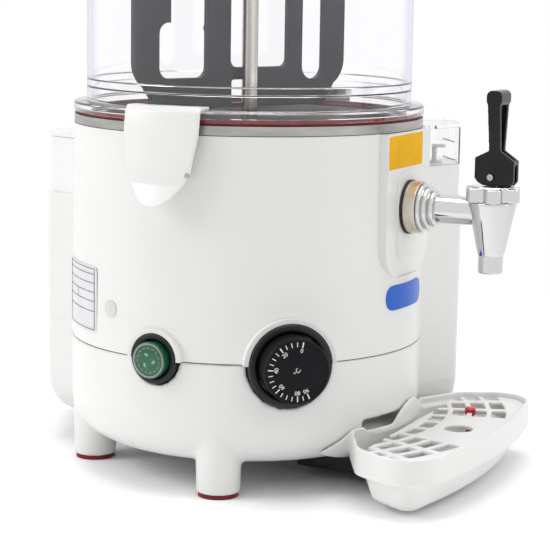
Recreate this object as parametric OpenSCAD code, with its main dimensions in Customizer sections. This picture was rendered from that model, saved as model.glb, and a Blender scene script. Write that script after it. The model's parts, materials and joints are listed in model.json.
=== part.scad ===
// Countertop hot chocolate dispenser with a 5 litre bowl.
// Z is up, z = 0 is the table, and the stirrer shaft is the Z axis.
// Angles run from the front (-Y) towards the right-hand side (+X).

/* [Round body] */
// Outer radius of the body at the seam
body_r = 131; // [110:1:160]
// How much narrower the upper shell is at its rim
body_taper = 2; // [0:0.5:4]
// Wall of the white plastic shells
shell_wall = 3; // [2.5:0.5:3.5]
// Height of the body's flat bottom over the table
ground_gap = 22; // [18:1:28]
// Rounding of the body's lower edge
base_round = 32; // [25:1:38]
// Height of the lower shell
lower_h = 75.5; // [70:0.5:92]
// Height of the upper shell
upper_h = 156.9; // [150:0.1:190]

/* [Feet] */
// Diameter of a leg where it leaves the body
leg_top_d = 33.5; // [26:0.5:38]
// Diameter of a leg at its foot
leg_foot_d = 31.4; // [24:0.1:36]
// Thickness of a rubber foot pad
pad_h = 3; // [2:0.5:5]
// Angle of the first leg
leg_turn = -8.4; // [-12:0.1:-5]
// Angle between the two legs on one side
leg_spread = 77.3; // [74:0.1:80]

/* [Rear housing] */
// How far the rear housing is wider than the body, each side
rear_wing = 28.5; // [22:0.5:34]
// Sideways offset of the rear housing
rear_shift = 4.5; // [0:0.5:5]
// How far the rear housing reaches behind the body
rear_overhang = 19; // [16:1:24]
// Height of the upper rear cover
rear_upper_h = 98; // [84:1:117]
// Thickness of the rear panel
panel_t = 3; // [2:0.5:4]
// Height of the water filler box
filler_h = 42.5; // [36:0.5:51]
// Height of the pedestal under the level box
pedestal_h = 26; // [22:1:31]
// Height of the clear level box
level_h = 28; // [24:0.5:33]

/* [Basin and bowl] */
// Height of the basin's steel band over the upper shell
band_h = 6.6; // [5:0.1:8]
// Depth of the steel basin below its rim
basin_depth = 75; // [70:1:85]
// Wall of the steel basin
basin_wall = 1.5; // [1:0.5:2]
// Thickness of the red gasket
gasket_t = 1.6; // [1:0.1:2.4]
// Outer radius of the clear bowl, less than the band's radius by
bowl_step = 9; // [8:0.5:11]
// Wall of the clear bowl
bowl_wall = 3; // [2.5:0.5:4]
// Thickness of the bowl's flange
flange_t = 7.4; // [6:0.2:9]
// Height of the bowl over its gasket
bowl_h = 171.4; // [145:0.1:205]
// Height of the lid's knob
knob_h = 19; // [15:1:23]

/* [Stirrer] */
// Diameter of the stirrer shaft
shaft_d = 12; // [10:0.5:14]
// Half the width of the flat paddle
paddle_r = 98; // [84:1:101]
// Thickness of the flat paddle
paddle_t = 5; // [4:0.5:6]
// Gap between the bowl's flange foot and the paddle's lower edge
paddle_gap = 3; // [2:0.5:8]
// Angle of the paddle's left side
paddle_turn = -51; // [-90:1:90]

/* [Dial and button] */
// Angle of the temperature dial
dial_a = 14.3; // [10:0.1:18]
// Diameter of the dial's bezel
dial_bezel_d = 59.5; // [49:0.5:64]
// Diameter of the dial's knob
dial_knob_d = 46; // [38:0.5:50]
// How far the knob stands out of its bezel
dial_knob_h = 17; // [14:1:20]
// Angle of the stirrer button
button_a = -28; // [-34:0.5:-25]
// Diameter of the button's bezel
button_bezel_d = 36; // [32:0.5:40]
// Diameter of the button's lens
button_lens_d = 26; // [22:0.5:28]
// Travel of the button
button_travel = 3; // [2:0.5:4]

/* [Tap] */
// Angle of the tap and of the drip tray
serve_a = 64.5; // [60:0.5:68]
// Distance from the body to the tap's upright axis
tap_out = 61; // [54:0.5:73]
// Height of the tap over the basin's floor
tap_rise = 13.7; // [13:0.1:16]
// Outer diameter of the tap's shank
shank_d = 20; // [16:0.5:21]
// Diameter of the spout
spout_d = 17.4; // [15:0.2:20]
// Height of the spout's mouth under the shank's axis
spout_drop = 43; // [39:1:50]
// Diameter of the lever's pin
lever_pin_d = 4; // [3:0.5:4.5]

/* [Latches] */
// Angle of the front latch
latch_a = -25.5; // [-28:0.5:-22]
// Width of a latch at its top
latch_w = 58; // [50:1:64]
// Diameter of a latch's hinge pin
latch_pin_d = 4; // [3:0.5:4.5]

/* [Drip tray] */
// Height of the tray's rim over the table
tray_rim_z = 45; // [43:0.5:46]
// Height of the tray's floor over the table
tray_floor_z = 4; // [3:0.5:8]
// Half the width of the tray
tray_half_w = 116; // [100:1:122]
// How far the tray stands out of the body
tray_out = 72.5; // [66:0.5:84]
// Wall of the tray
tray_wall = 2.5; // [2:0.5:3]
// Thickness of the drip grid
grid_t = 3; // [2.5:0.5:4]

/* [Hidden] */

$fn = 96;
hull_fn = 32;           // sides of a circle inside a hull
fit = 0.2;              // gap round a part that is fitted and stays still
run = 0.35;             // gap round a part that moves
eps = 0.01;

// heights
seam_z = ground_gap + lower_h;
rim_z = seam_z + upper_h;
basin_top_z = rim_z + band_h;
basin_floor_z = basin_top_z - basin_depth;
bowl_z = basin_top_z + gasket_t;
bowl_top_z = bowl_z + bowl_h;
lid_t = 12;
tap_z = basin_floor_z + tap_rise;

// radii
shell_top_r = body_r - body_taper;
bowl_r = shell_top_r - bowl_step;
bowl_in_r = bowl_r - bowl_wall;
flange_r = shell_top_r + 0.5;
basin_r = bowl_in_r - 9;
basin_round = 20;
well_r = basin_r + basin_wall;
well_z = basin_floor_z - basin_wall;
jacket_gap = 10;
jacket_wall = 1.5;
jacket_r = well_r + jacket_gap;
leg_r = body_r - 0.65 - leg_top_d / 2;
leg_angles = [leg_turn, leg_turn - leg_spread, leg_turn + 180, leg_turn - leg_spread + 180];

// drive train, from the jacket's floor down
jacket_floor_z = basin_floor_z - 36;
bracket_gap = 12;
bracket_t = 2.5;
bracket_z = jacket_floor_z - bracket_gap - bracket_t;
gearbox_h = 40;
motor_d = 58;
motor_h = 56;
output_len = bracket_gap - 3;
coupling_r = shaft_d / 2 + 3.5;
shaft_bottom_z = bracket_z + bracket_t + output_len + 0.5;
shaft_top_z = bowl_top_z + 4;
sleeve_r = shaft_d / 2 + 4.5;

// dial and button, as distances from the body's axis
bezel_face = body_r + 3.5;
bezel_back = body_r - 9;
button_out = 5.5;
arch_w = 3.4;
arch_face = body_r + 2.5;
stem_d = 6;

// tap, as distances from the body's axis
panel_face = body_r - 2.5;
boss_half_w = 41;
tap_gasket_t = 2.5;
collar_len = 9;
nut_steps = [[36, 3.5], [32, 4], [26, 4.5]];  // diameter and length of each step
collar_start = panel_face + tap_gasket_t;
nut_start = collar_start + collar_len;
tap_t = body_r + tap_out;
cone_top_d = 34;
cone_top_z = tap_z + 8.1;
cone_foot_z = tap_z - 28.6;
spout_z = tap_z - spout_drop;
chamber_r = 10;
seat_z = tap_z - 21;
crown_h = 11;
crown_d = 31;
crown_top_z = cone_top_z + crown_h;
pivot_rise = 6.3;
pivot_z = crown_top_z + pivot_rise;
stem_r = 4;
blade_half = 2.4;
cheek_in = blade_half + run / 2;
cheek_t = 3.4;
bar_half = 10.5;

// latches
latch_r = shell_top_r;
latch_pin_out = 5.5;
latch_pin_z = rim_z - 26.6;
latch_lug_half = 16;
latch_top_z = bowl_z + flange_t + 1;
latch_low_z = latch_pin_z - 22.2;
latch_angles = [latch_a, latch_a + 180];

// rear housing
rear_half_w = body_r + rear_wing;
rear_back = body_r + rear_overhang;
rear_corner_y = 38.5;
rear_top_z = seam_z + rear_upper_h;
filler_top_z = rear_top_z + filler_h;
pedestal_top_z = rear_top_z + pedestal_h;
box_depth = 46;
rear_in = 3;
gland_x = -70;
gland_z = 62;
gland_bore_r = 4.2;

// drip tray, in the serving frame: x outwards, y sideways
tray_front = body_r + tray_out;
tray_nose_r = 450;
tray_skirt_z = tray_rim_z - 20;
tray_back = body_r - 11;
tray_corner_r = 26;
tub_inset = 9;
tray_gap = 1.2;
grid_z = tray_rim_z - 7;
hole_t = body_r + 41;
tongue_z = tray_rim_z - 2.5;
pocket_depth = 24;
pocket_half_a = 24;
pocket_top_z = 52;
pocket_floor_z = 39.5;
float_t = body_r + 30;
float_s = 56;

// ---------- shared shapes ----------

// turns a shape drawn along +X to the angle a of the body
module at_angle(a) rotate([0, 0, a - 90]) children();

// a cylinder lying along the radial direction from distance t0 to t1
module radial(t0, t1, d, z) translate([t0, 0, z]) rotate([0, 90, 0]) cylinder(d = d, h = t1 - t0);

// a cylinder lying sideways, centred on the radial plane
module crosswise(t, z, d, half) translate([t, half, z]) rotate([90, 0, 0]) cylinder(d = d, h = 2 * half);

// a flat rectangle with round corners
module round_rect(x0, x1, y0, y1, r) {
    translate([x0 + r, y0]) square([x1 - x0 - 2 * r, y1 - y0]);
    translate([x0, y0 + r]) square([x1 - x0, y1 - y0 - 2 * r]);
    for (x = [x0 + r, x1 - r], y = [y0 + r, y1 - r]) translate([x, y]) circle(r);
}

// half section of the round body from the bottom to height top, grown by g
module body_section(g, top) {
    r = base_round + g;
    z0 = ground_gap - g;
    square_r = body_r + g - r;
    translate([0, z0]) square([square_r, top - z0]);
    translate([0, z0 + r]) square([body_r + g, top - z0 - r]);
    intersection() {
        translate([square_r, z0 + r]) circle(r);
        translate([0, z0]) square([body_r + g, r]);
    }
}

// turned so that the surface's start lies clear of legs and openings
module body_volume(g, top) rotate([0, 0, 45]) rotate_extrude() body_section(g, top);

// half section of the upper shell's outside, grown by g
module upper_section(g) {
    polygon([[0, seam_z - g], [body_r + g, seam_z - g], [shell_top_r + g, rim_z + g], [0, rim_z + g]]);
}

// plan of the rear housing, drawn in by d; its front edge lies inside the round body
module rear_plan(d) {
    for (side = [-1, 1]) {
        translate([rear_shift + side * (rear_half_w - 8), rear_corner_y + 5]) circle(8 - d, $fn = hull_fn);
        translate([rear_shift + side * (rear_half_w - 14), rear_back - 14]) circle(14 - d, $fn = hull_fn);
        translate([rear_shift + side * (rear_half_w - 58), rear_corner_y - 30]) circle(8 - d, $fn = hull_fn);
    }
}

module rear_block(d, z0, z1) hull() translate([0, 0, z0]) linear_extrude(z1 - z0) rear_plan(d);

// plan of the box on one side of the rear housing's top, drawn in by d
module side_box_plan(side, d) offset(delta = -d) hull() {
    edge = rear_shift + side * (rear_half_w - 2);
    back = rear_corner_y + box_depth - 5;
    for (p = [[5, rear_corner_y + 8], [5, back], [29, back], [29, rear_corner_y - 15]])
        translate([edge - side * p[0], p[1]]) circle(5, $fn = hull_fn);
}

// keeps the rear parts off the round body
module rear_body_cut() {
    body_volume(fit, seam_z);
    rotate_extrude() upper_section(fit);
    translate([0, 0, rim_z]) cylinder(r = flange_r + 4, h = bowl_h);
}

// ---------- body ----------

module leg_shape(g) translate([leg_r, 0, pad_h])
    cylinder(d1 = leg_foot_d + 2 * g, d2 = leg_top_d + 2 * g, h = ground_gap + base_round - pad_h - 5);

module control_cuts() {
    at_angle(dial_a) radial(bezel_back - 8, body_r + 20, dial_bezel_d + 2 * fit, seam_z - 1);
    at_angle(button_a) radial(bezel_back - 8, body_r + 20, button_bezel_d + 2 * fit, seam_z + 0.5);
}

// sector of the pocket that takes the tray's tongue
module pocket_volume(g, r_out) difference() {
    at_angle(serve_a) translate([0, 0, pocket_floor_z - g])
        rotate([0, 0, -pocket_half_a]) rotate_extrude(angle = 2 * pocket_half_a)
            translate([body_r - pocket_depth - g, 0]) square([r_out - body_r + pocket_depth + g,
                                                              pocket_top_z - pocket_floor_z + 2 * g]);
}

module lower_shell() color("white") difference() {
    union() {
        difference() {
            union() {
                body_volume(0, seam_z);
                for (a = leg_angles) at_angle(a) leg_shape(0);
            }
            body_volume(-shell_wall, seam_z + 1);
        }
        // lip that locates the upper shell
        difference() {
            union() {
                translate([0, 0, seam_z - 6]) cylinder(r = body_r - shell_wall + 0.5, h = 6);
                translate([0, 0, seam_z - 1]) cylinder(r = body_r - shell_wall - 2 * fit, h = 6);
            }
            translate([0, 0, seam_z - 7]) cylinder(r = body_r - shell_wall - 3, h = 14);
        }
        // walls of the tray's pocket
        intersection() {
            pocket_volume(2, body_r + 5);
            body_volume(-0.5, seam_z);
        }
    }
    pocket_volume(0, body_r + 20);
    control_cuts();
    // opening that the base plate closes
    translate([0, 0, ground_gap - 5]) cylinder(r = body_r - base_round - 14, h = 6 + shell_wall);
    for (a = [0:90:270]) rotate([0, 0, a + 30])
        translate([body_r - base_round - 8, 0, ground_gap - 5]) cylinder(d = 4 + 2 * fit, h = 12);
    for (a = leg_angles) at_angle(a) translate([leg_r, 0, pad_h - 1]) cylinder(d = 8 + 2 * fit, h = 12);
    // cable passage to the rear housing
    translate([-20, body_r - 25, ground_gap + 34]) cube([40, 40, 22]);
}

// flat field behind the tap, from low on the shell to its rim
module boss_prism(len, top) intersection() {
    rotate([90, 0, 90]) linear_extrude(len)
        round_rect(-boss_half_w, boss_half_w, tap_z - 49, rim_z + 30, 24);
    cylinder(r = 2 * body_r, h = top);
}

module upper_shell() color("white") difference() {
    union() {
        rotate_extrude() difference() {
            upper_section(0);
            polygon([[-1, seam_z - 1], [body_r - shell_wall, seam_z - 1],
                     [shell_top_r - shell_wall, rim_z + 1], [-1, rim_z + 1]]);
        }
        // ledge that carries the water jacket
        translate([0, 0, rim_z - 9]) difference() {
            cylinder(r = shell_top_r - shell_wall + 0.5, h = 3);
            translate([0, 0, -1]) cylinder(r = jacket_r + fit, h = 5);
        }
        // flat boss behind the tap
        at_angle(serve_a) difference() {
            translate([body_r - 16, 0, 0]) boss_prism(panel_face - body_r + 16, rim_z - 0.4);
            cylinder(r = shell_top_r - shell_wall, h = rim_z);
        }
        // arches over the dial and the button
        difference() {
            union() {
                at_angle(dial_a) radial(body_r - 20, arch_face, dial_bezel_d + 2 * arch_w, seam_z - 1);
                at_angle(button_a) radial(body_r - 20, arch_face, button_bezel_d + 2 * arch_w, seam_z + 0.5);
            }
            cylinder(r = body_r - shell_wall + 0.5, h = rim_z);
            cylinder(r = 2 * body_r, h = seam_z);
        }
    }
    control_cuts();
    at_angle(serve_a) {
        translate([panel_face, 0, 0]) boss_prism(20, rim_z + 1);
        radial(body_r - 30, body_r + 20, shank_d + 2 * fit, tap_z);
    }
    translate([-20, body_r - 25, seam_z + 20]) cube([40, 40, 30]);
}

module base_plate() color("silver") difference() {
    translate([0, 0, ground_gap + shell_wall]) cylinder(r = body_r - base_round - 2.5, h = 2);
    for (a = [0:90:270]) rotate([0, 0, a + 30])
        translate([body_r - base_round - 8, 0, ground_gap]) cylinder(d = 4 + 2 * fit, h = 12);
    for (x = [-40:16:40]) translate([x - 3, -30, ground_gap]) cube([6, 60, 12]);
}

module base_screws() color("gray") for (a = [0:90:270]) rotate([0, 0, a + 30])
    translate([body_r - base_round - 8, 0, ground_gap]) {
        translate([0, 0, -2]) cylinder(d = 8, h = 2);
        translate([0, 0, -0.5]) cylinder(d = 4, h = shell_wall + 5);
    }

module foot_pads() color("darkred") for (a = leg_angles) at_angle(a) translate([leg_r, 0, 0]) {
    cylinder(d = leg_foot_d - 2.7, h = pad_h);
    cylinder(d = 8, h = pad_h + 8);
}

// ---------- rear housing ----------

module rear_lower_cover() color("white") difference() {
    hull() for (k = [0:5]) {
        drop = base_round * (1 - sin(k * 18));
        inset = base_round * (1 - cos(k * 18));
        z = ground_gap + drop;
        top = (k == 0) ? seam_z - z : 1;
        translate([0, 0, z]) linear_extrude(top) offset(r = -inset * 0.8) hull() rear_plan(0);
    }
    hull() for (k = [0:5]) {
        r = base_round - rear_in;
        z = ground_gap + rear_in + r * (1 - sin(k * 18));
        top = (k == 0) ? seam_z - z + 1 : 1;
        translate([0, 0, z]) linear_extrude(top)
            offset(r = -rear_in - r * (1 - cos(k * 18)) * 0.8) hull() rear_plan(0);
    }
    body_volume(fit, seam_z + 1);
    for (a = leg_angles) at_angle(a) leg_shape(1);
    translate([gland_x, rear_back - 10, gland_z]) rotate([-90, 0, 0]) cylinder(d = 16 + 2 * fit, h = 20);
}

module rear_upper_cover() color("white") difference() {
    union() {
        rear_block(0, seam_z, rear_top_z);
        translate([0, 0, rear_top_z - 1]) linear_extrude(pedestal_h + 1) side_box_plan(1, 0);
    }
    rear_block(rear_in, seam_z - 1, rear_top_z - rear_in);
    translate([0, 0, rear_top_z - 5]) linear_extrude(pedestal_h + 2) side_box_plan(1, rear_in);
    rear_body_cut();
    // window that the rear panel closes
    translate([rear_shift - 90, rear_back - rear_in - 1, seam_z + 14]) cube([180, 10, rear_upper_h - 30]);
    // filler and level passages
    translate([0, 0, rear_top_z - 5]) linear_extrude(8) side_box_plan(-1, 9);
    translate([float_x, float_y, pedestal_top_z - 5]) cylinder(d = float_d + 2 * run, h = 8);
}

module rear_panel() color("gainsboro") difference() {
    translate([rear_shift - 100, rear_back, seam_z + 6]) cube([200, panel_t, rear_upper_h - 14]);
    for (x = [-60:12:60]) translate([rear_shift + x - 3, rear_back - 1, seam_z + 40]) cube([6, 10, 36]);
    for (x = [-95, 95], z = [seam_z + 11, rear_top_z - 13])
        translate([rear_shift + x, rear_back - 1, z]) rotate([-90, 0, 0]) cylinder(d = 4 + 2 * fit, h = 10);
}

module panel_screws() color("gray") for (x = [-95, 95], z = [seam_z + 11, rear_top_z - 13])
    translate([rear_shift + x, rear_back + panel_t, z]) rotate([-90, 0, 0]) {
        cylinder(d = 7.5, h = 2);
        translate([0, 0, -panel_t]) cylinder(d = 4, h = panel_t + 0.5);
    }

module cable_gland() color("black") translate([gland_x, rear_back, gland_z]) rotate([-90, 0, 0])
    difference() {
        union() {
            translate([0, 0, -12]) cylinder(d = 16, h = 12 + eps);
            cylinder(d = 22, h = 5);
            translate([0, 0, 5 - eps]) cylinder(d1 = 19, d2 = 15, h = 12);
        }
        translate([0, 0, -13]) cylinder(r = gland_bore_r, h = 31);
    }

module filler_box() color("white") difference() {
    translate([0, 0, rear_top_z]) linear_extrude(filler_h) side_box_plan(-1, 0);
    translate([0, 0, rear_top_z - 1]) linear_extrude(filler_h + 2) side_box_plan(-1, 2.5);
    rear_body_cut();
}

module filler_cap() color("white") difference() {
    union() {
        translate([0, 0, filler_top_z + 0.3]) linear_extrude(3) side_box_plan(-1, -0.8);
        translate([0, 0, filler_top_z - 6]) linear_extrude(7) side_box_plan(-1, 3.2);
    }
    translate([0, 0, filler_top_z - 7]) linear_extrude(7) side_box_plan(-1, 5);
    cylinder(r = body_r + 3.5, h = 2 * rim_z);
}

module level_box() color([0.9, 0.95, 1, 0.4]) difference() {
    translate([0, 0, pedestal_top_z]) linear_extrude(level_h) side_box_plan(1, 0);
    translate([0, 0, pedestal_top_z - 1]) linear_extrude(level_h + 2) side_box_plan(1, 2);
    cylinder(r = body_r + 1, h = 2 * rim_z);
}

lid_bail_x = rear_shift + rear_half_w - 27;
module level_lid() color([0.9, 0.95, 1, 0.4]) difference() {
    union() {
        translate([0, 0, pedestal_top_z + level_h + 0.3]) linear_extrude(2.2) side_box_plan(1, 0);
        // bail that lifts the lid
        translate([lid_bail_x, rear_corner_y + 14, pedestal_top_z + level_h + 2]) rotate([90, 0, 0])
            difference() {
                cylinder(r = 14.5, h = 5);
                translate([0, 0, -1]) cylinder(r = 12.8, h = 7);
                translate([-20, -40, -1]) cube([40, 40, 7]);
            }
    }
    cylinder(r = body_r + 3, h = 2 * rim_z);
}

float_x = rear_shift + rear_half_w - 22;
float_y = rear_corner_y + 12;
float_d = 12;
module level_float() color("white") translate([float_x, float_y, pedestal_top_z]) {
    translate([0, 0, -10]) cylinder(d = float_d, h = 12);
    cylinder(d = 4, h = 13);
    translate([-2, -3, 12]) cube([10, 6, 2.5]);
}

// ---------- basin, jacket and heater ----------

module steel_basin() color("silver") difference() {
    rotate_extrude() difference() {
        union() {
            // band and rim
            translate([0, basin_top_z - 1.5]) square([shell_top_r, 1.5]);
            translate([shell_top_r - 1.5, rim_z]) square([1.5, band_h]);
            // well
            translate([0, well_z + basin_round]) square([well_r, basin_depth - basin_round]);
            translate([0, well_z]) square([well_r - basin_round, basin_round + 1]);
            translate([well_r - basin_round, well_z + basin_round]) circle(basin_round);
        }
        inner_round = basin_round - basin_wall;
        translate([-1, basin_floor_z + inner_round]) square([basin_r + 1, basin_depth]);
        translate([-1, basin_floor_z]) square([basin_r + 1 - inner_round, inner_round + 1]);
        translate([basin_r - inner_round, basin_floor_z + inner_round]) circle(inner_round);
        translate([-2 * body_r, 0]) square([2 * body_r, 2 * rim_z]);
    }
    at_angle(serve_a) radial(basin_r - 30, basin_r + 10, shank_d + 2 * fit, tap_z);
    translate([0, 0, basin_floor_z - 10]) cylinder(r = sleeve_r - 2 + fit, h = 20);
}

module water_jacket() color("lightgray") difference() {
    rotate_extrude() {
        translate([sleeve_r, jacket_floor_z]) square([jacket_r - sleeve_r, jacket_wall]);
        translate([jacket_r - jacket_wall, jacket_floor_z]) square([jacket_wall, rim_z - 6 - jacket_floor_z]);
        translate([jacket_r - jacket_wall, rim_z - 6])
            square([shell_top_r - shell_wall - 0.5 - jacket_r + jacket_wall, 1.5]);
        // riser tube that the shaft runs through
        translate([sleeve_r, jacket_floor_z]) square([1.5, well_z - jacket_floor_z]);
    }
    at_angle(serve_a) radial(jacket_r - 30, jacket_r + 20, shank_d + 2 * fit, tap_z);
    for (s = [-1, 1]) rotate([0, 0, s * heater_leg_a]) translate([0, -heater_r, jacket_floor_z - 5])
        cylinder(d = heater_leg_d + 2 * fit, h = 12);
}

heater_r = jacket_r - 40;
heater_leg_a = 12;
heater_leg_d = 8;
module heating_element() color("dimgray") {
    rotate([0, 0, -79]) rotate_extrude(angle = 338)
        translate([heater_r, jacket_floor_z + 16]) circle(d = 7, $fn = 48);
    for (s = [-1, 1]) rotate([0, 0, s * heater_leg_a]) translate([0, -heater_r, jacket_floor_z - 10])
        cylinder(d = heater_leg_d, h = 30);
}

module shaft_seal() color("firebrick") difference() {
    union() {
        translate([0, 0, jacket_floor_z + 20]) cylinder(r = sleeve_r - fit, h = well_z - jacket_floor_z - 20);
        translate([0, 0, well_z - eps]) cylinder(r = sleeve_r - 2, h = basin_wall + 2);
        translate([0, 0, basin_floor_z]) cylinder(r = sleeve_r + 2.5, h = 4);
    }
    translate([0, 0, jacket_floor_z]) cylinder(r = shaft_d / 2 + run, h = 60);
}

module motor_bracket() color("silver") difference() {
    union() {
        translate([-60, -36, bracket_z]) cube([120, 72, bracket_t]);
        for (x = [-52, 52], y = [-28, 28])
            translate([x, y, bracket_z]) cylinder(d = 8, h = bracket_t + bracket_gap);
    }
    translate([0, 0, bracket_z - 1]) cylinder(r = coupling_r + 1.5, h = 10);
}

module gear_motor() color("darkgray") difference() {
    union() {
        translate([0, 0, bracket_z - gearbox_h]) linear_extrude(gearbox_h) round_rect(-34, 46, -34, 34, 8);
        translate([10, 0, bracket_z - gearbox_h - motor_h]) cylinder(d = motor_d, h = motor_h + eps);
    }
    translate([0, 0, bracket_z - 25]) cylinder(r = 5 + run, h = 40);
}

module drive_coupling() color("gray") {
    // output shaft of the gear motor
    translate([0, 0, bracket_z - 24]) cylinder(r = 5, h = 24 + bracket_t + output_len);
    difference() {
        translate([0, 0, bracket_z + bracket_t + 2.5]) cylinder(r = coupling_r, h = 20);
        translate([0, 0, bracket_z - 1]) cylinder(r = 5 - eps, h = 40);
        translate([0, 0, shaft_bottom_z - 0.3]) cylinder(r = shaft_d / 2 + 0.1, h = 40);
    }
}

// ---------- bowl and lid ----------

module bowl_gasket() color("darkred") translate([0, 0, basin_top_z]) difference() {
    cylinder(r = flange_r - 1.6, h = gasket_t);
    translate([0, 0, -1]) cylinder(r = bowl_in_r + 0.5, h = gasket_t + 2);
}

bead_z = bowl_z + 18;
module bowl() color([0.9, 0.93, 1, 0.35]) rotate_extrude() {
    translate([bowl_in_r, bowl_z]) square([flange_r - bowl_in_r, flange_t]);
    translate([bowl_in_r, bowl_z]) square([bowl_wall, bowl_h]);
    // step inside the wall, over its foot
    translate([bowl_in_r - 2.5, bead_z]) square([bowl_wall, 6]);
    translate([bowl_r - 1, bowl_top_z - 5]) square([4, 5]);
}

module lid() color([0.9, 0.93, 1, 0.35]) difference() {
    rotate_extrude() {
        polygon([[0, bowl_top_z + lid_t - 3], [bowl_in_r - 30, bowl_top_z + lid_t - 3],
                 [bowl_in_r - 8, bowl_top_z + 0.3], [bowl_r + 7, bowl_top_z + 0.3],
                 [bowl_r + 7, bowl_top_z + 3.3], [bowl_in_r - 6, bowl_top_z + 3.3],
                 [bowl_in_r - 29, bowl_top_z + lid_t], [0, bowl_top_z + lid_t]]);
        translate([bowl_r + 4, bowl_top_z - 9]) square([3, 12]);
        // socket that steadies the shaft's top
        translate([shaft_d / 2 + 0.6, bowl_top_z - 4]) square([3, lid_t + 2]);
    }
}

module lid_knob() color("black") translate([0, 0, bowl_top_z + lid_t]) {
    cylinder(d = 20, h = 5);
    translate([0, 0, 5 - eps]) cylinder(d1 = 20, d2 = 38, h = 5);
    translate([0, 0, 10 - 2 * eps]) cylinder(d = 38, h = 4);
    translate([0, 0, 14 - 3 * eps]) cylinder(d1 = 38, d2 = 28, h = knob_h - 14);
}

// ---------- stirrer ----------

module stirrer_shaft() color("silver") difference() {
    translate([0, 0, shaft_bottom_z]) cylinder(d = shaft_d, h = shaft_top_z - shaft_bottom_z);
    // flats that key the paddle
    for (s = [0, 180]) rotate([0, 0, paddle_turn + s])
        translate([shaft_d / 2 - 0.8, -shaft_d, basin_top_z - 20])
            cube([shaft_d, 2 * shaft_d, shaft_top_z - basin_top_z + 10]);
}

// outline of the paddle: x to the paddle's left side, y up
paddle_foot_z = bowl_z + paddle_gap;
paddle_top_z = bowl_top_z - 12;
module paddle_outline() {
    foot = paddle_foot_z;
    bar_w = 21;
    difference() {
        union() {
            round_rect(-paddle_r, paddle_r, foot + 12, paddle_top_z, 22);
            polygon([[-paddle_r + 20, foot], [paddle_r - 20, foot],
                     [paddle_r - 6, foot + 22], [-paddle_r + 6, foot + 22]]);
        }
        // left window, wider above its step
        round_rect(34, paddle_r - bar_w, foot + 22, foot + 62, 8);
        round_rect(34, paddle_r - bar_w - 10, foot + 54, paddle_top_z - 16, 8);
        // windows on both sides of the shaft
        round_rect(-42, 13, foot + 29, paddle_top_z - 16, 6);
        round_rect(-11, 12, foot + 3, foot + 20, 2);
        // slot beside the right bar
        round_rect(-paddle_r + bar_w, -55.5, foot + 19, paddle_top_z - 16, 10);
    }
}

hub_z = paddle_top_z - 30;
module stirrer_paddle() color([0.25, 0.25, 0.27]) rotate([0, 0, paddle_turn - 90]) {
    back = shaft_d / 2 + run;
    translate([0, -back, 0]) rotate([90, 0, 0]) linear_extrude(paddle_t) paddle_outline();
    // hub that clips round the shaft, joined to the plate by a crossbar
    difference() {
        union() {
            translate([0, 0, hub_z]) cylinder(r = shaft_d / 2 + 4, h = 14);
            translate([-44, -back - paddle_t, hub_z]) cube([60, paddle_t, 14]);
        }
        translate([0, 0, hub_z - 1]) cylinder(r = shaft_d / 2 + 0.1, h = 16);
    }
}

scraper_z = basin_floor_z + 6;
module basin_scraper() color([0.25, 0.25, 0.27]) rotate([0, 0, paddle_turn - 90]) difference() {
    union() {
        translate([0, 0, scraper_z]) cylinder(r = shaft_d / 2 + 4, h = 16);
        translate([-basin_r + 34, -2, scraper_z]) cube([2 * basin_r - 68, 4, 16]);
    }
    translate([0, 0, scraper_z - 1]) cylinder(r = shaft_d / 2 + 0.1, h = 20);
}

// ---------- dial and button ----------

module dial_bezel() color("black") at_angle(dial_a) difference() {
    radial(bezel_back, bezel_face, dial_bezel_d, seam_z - 1);
    radial(bezel_back + 4, bezel_face + 1, dial_knob_d + 2 * run, seam_z - 1);
    radial(bezel_back - 1, bezel_face + 1, 10, seam_z - 1);
}

module dial_knob() color([0.1, 0.1, 0.1]) at_angle(dial_a) {
    radial(bezel_face - 4, bezel_face + dial_knob_h, dial_knob_d, seam_z - 1);
    radial(bezel_back - 14, bezel_face - 3.9, stem_d, seam_z - 1);
}

module thermostat() color("lightgray") at_angle(dial_a) difference() {
    translate([bezel_back - 34, -19, seam_z - 20]) cube([33.6, 38, 38]);
    radial(bezel_back - 16, bezel_back + 1, stem_d + 2 * run, seam_z - 1);
}

module button_bezel() color("black") at_angle(button_a) difference() {
    radial(bezel_back, bezel_face - 0.5, button_bezel_d, seam_z + 0.5);
    radial(bezel_back - 1, bezel_face + 1, button_lens_d + 2 * run, seam_z + 0.5);
}

module button_lens() color("seagreen") at_angle(button_a) {
    radial(bezel_back + 6, bezel_face + button_out, button_lens_d, seam_z + 0.5);
    radial(bezel_back - 5, bezel_back + 6.1, 10, seam_z + 0.5);
}

module switch_body() color("dimgray") at_angle(button_a) difference() {
    translate([bezel_back - 28, -13, seam_z - 12.5]) cube([27.6, 26, 26]);
    radial(bezel_back - 5 - button_travel - 1, bezel_back + 1, 10 + 2 * run, seam_z + 0.5);
}

// ---------- tap ----------

module tap_gasket() color("black") at_angle(serve_a) difference() {
    radial(panel_face, collar_start, 39, tap_z);
    radial(panel_face - 1, collar_start + 1, shank_d + 2 * fit, tap_z);
}

module tap_collar() color("silver") at_angle(serve_a) difference() {
    radial(collar_start, nut_start, 37.5, tap_z);
    radial(collar_start - 1, nut_start + 1, shank_d + 2 * fit, tap_z);
}

function nut_at(k) = k == 0 ? nut_start : nut_at(k - 1) + nut_steps[k - 1][1];
module tap_nut() color("gainsboro") at_angle(serve_a) difference() {
    for (k = [0:2]) radial(nut_at(k), nut_at(k + 1) + (k < 2 ? eps : 0), nut_steps[k][0], tap_z);
    radial(nut_start - 1, nut_at(3) + 1, shank_d + 2 * fit, tap_z);
}

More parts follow.
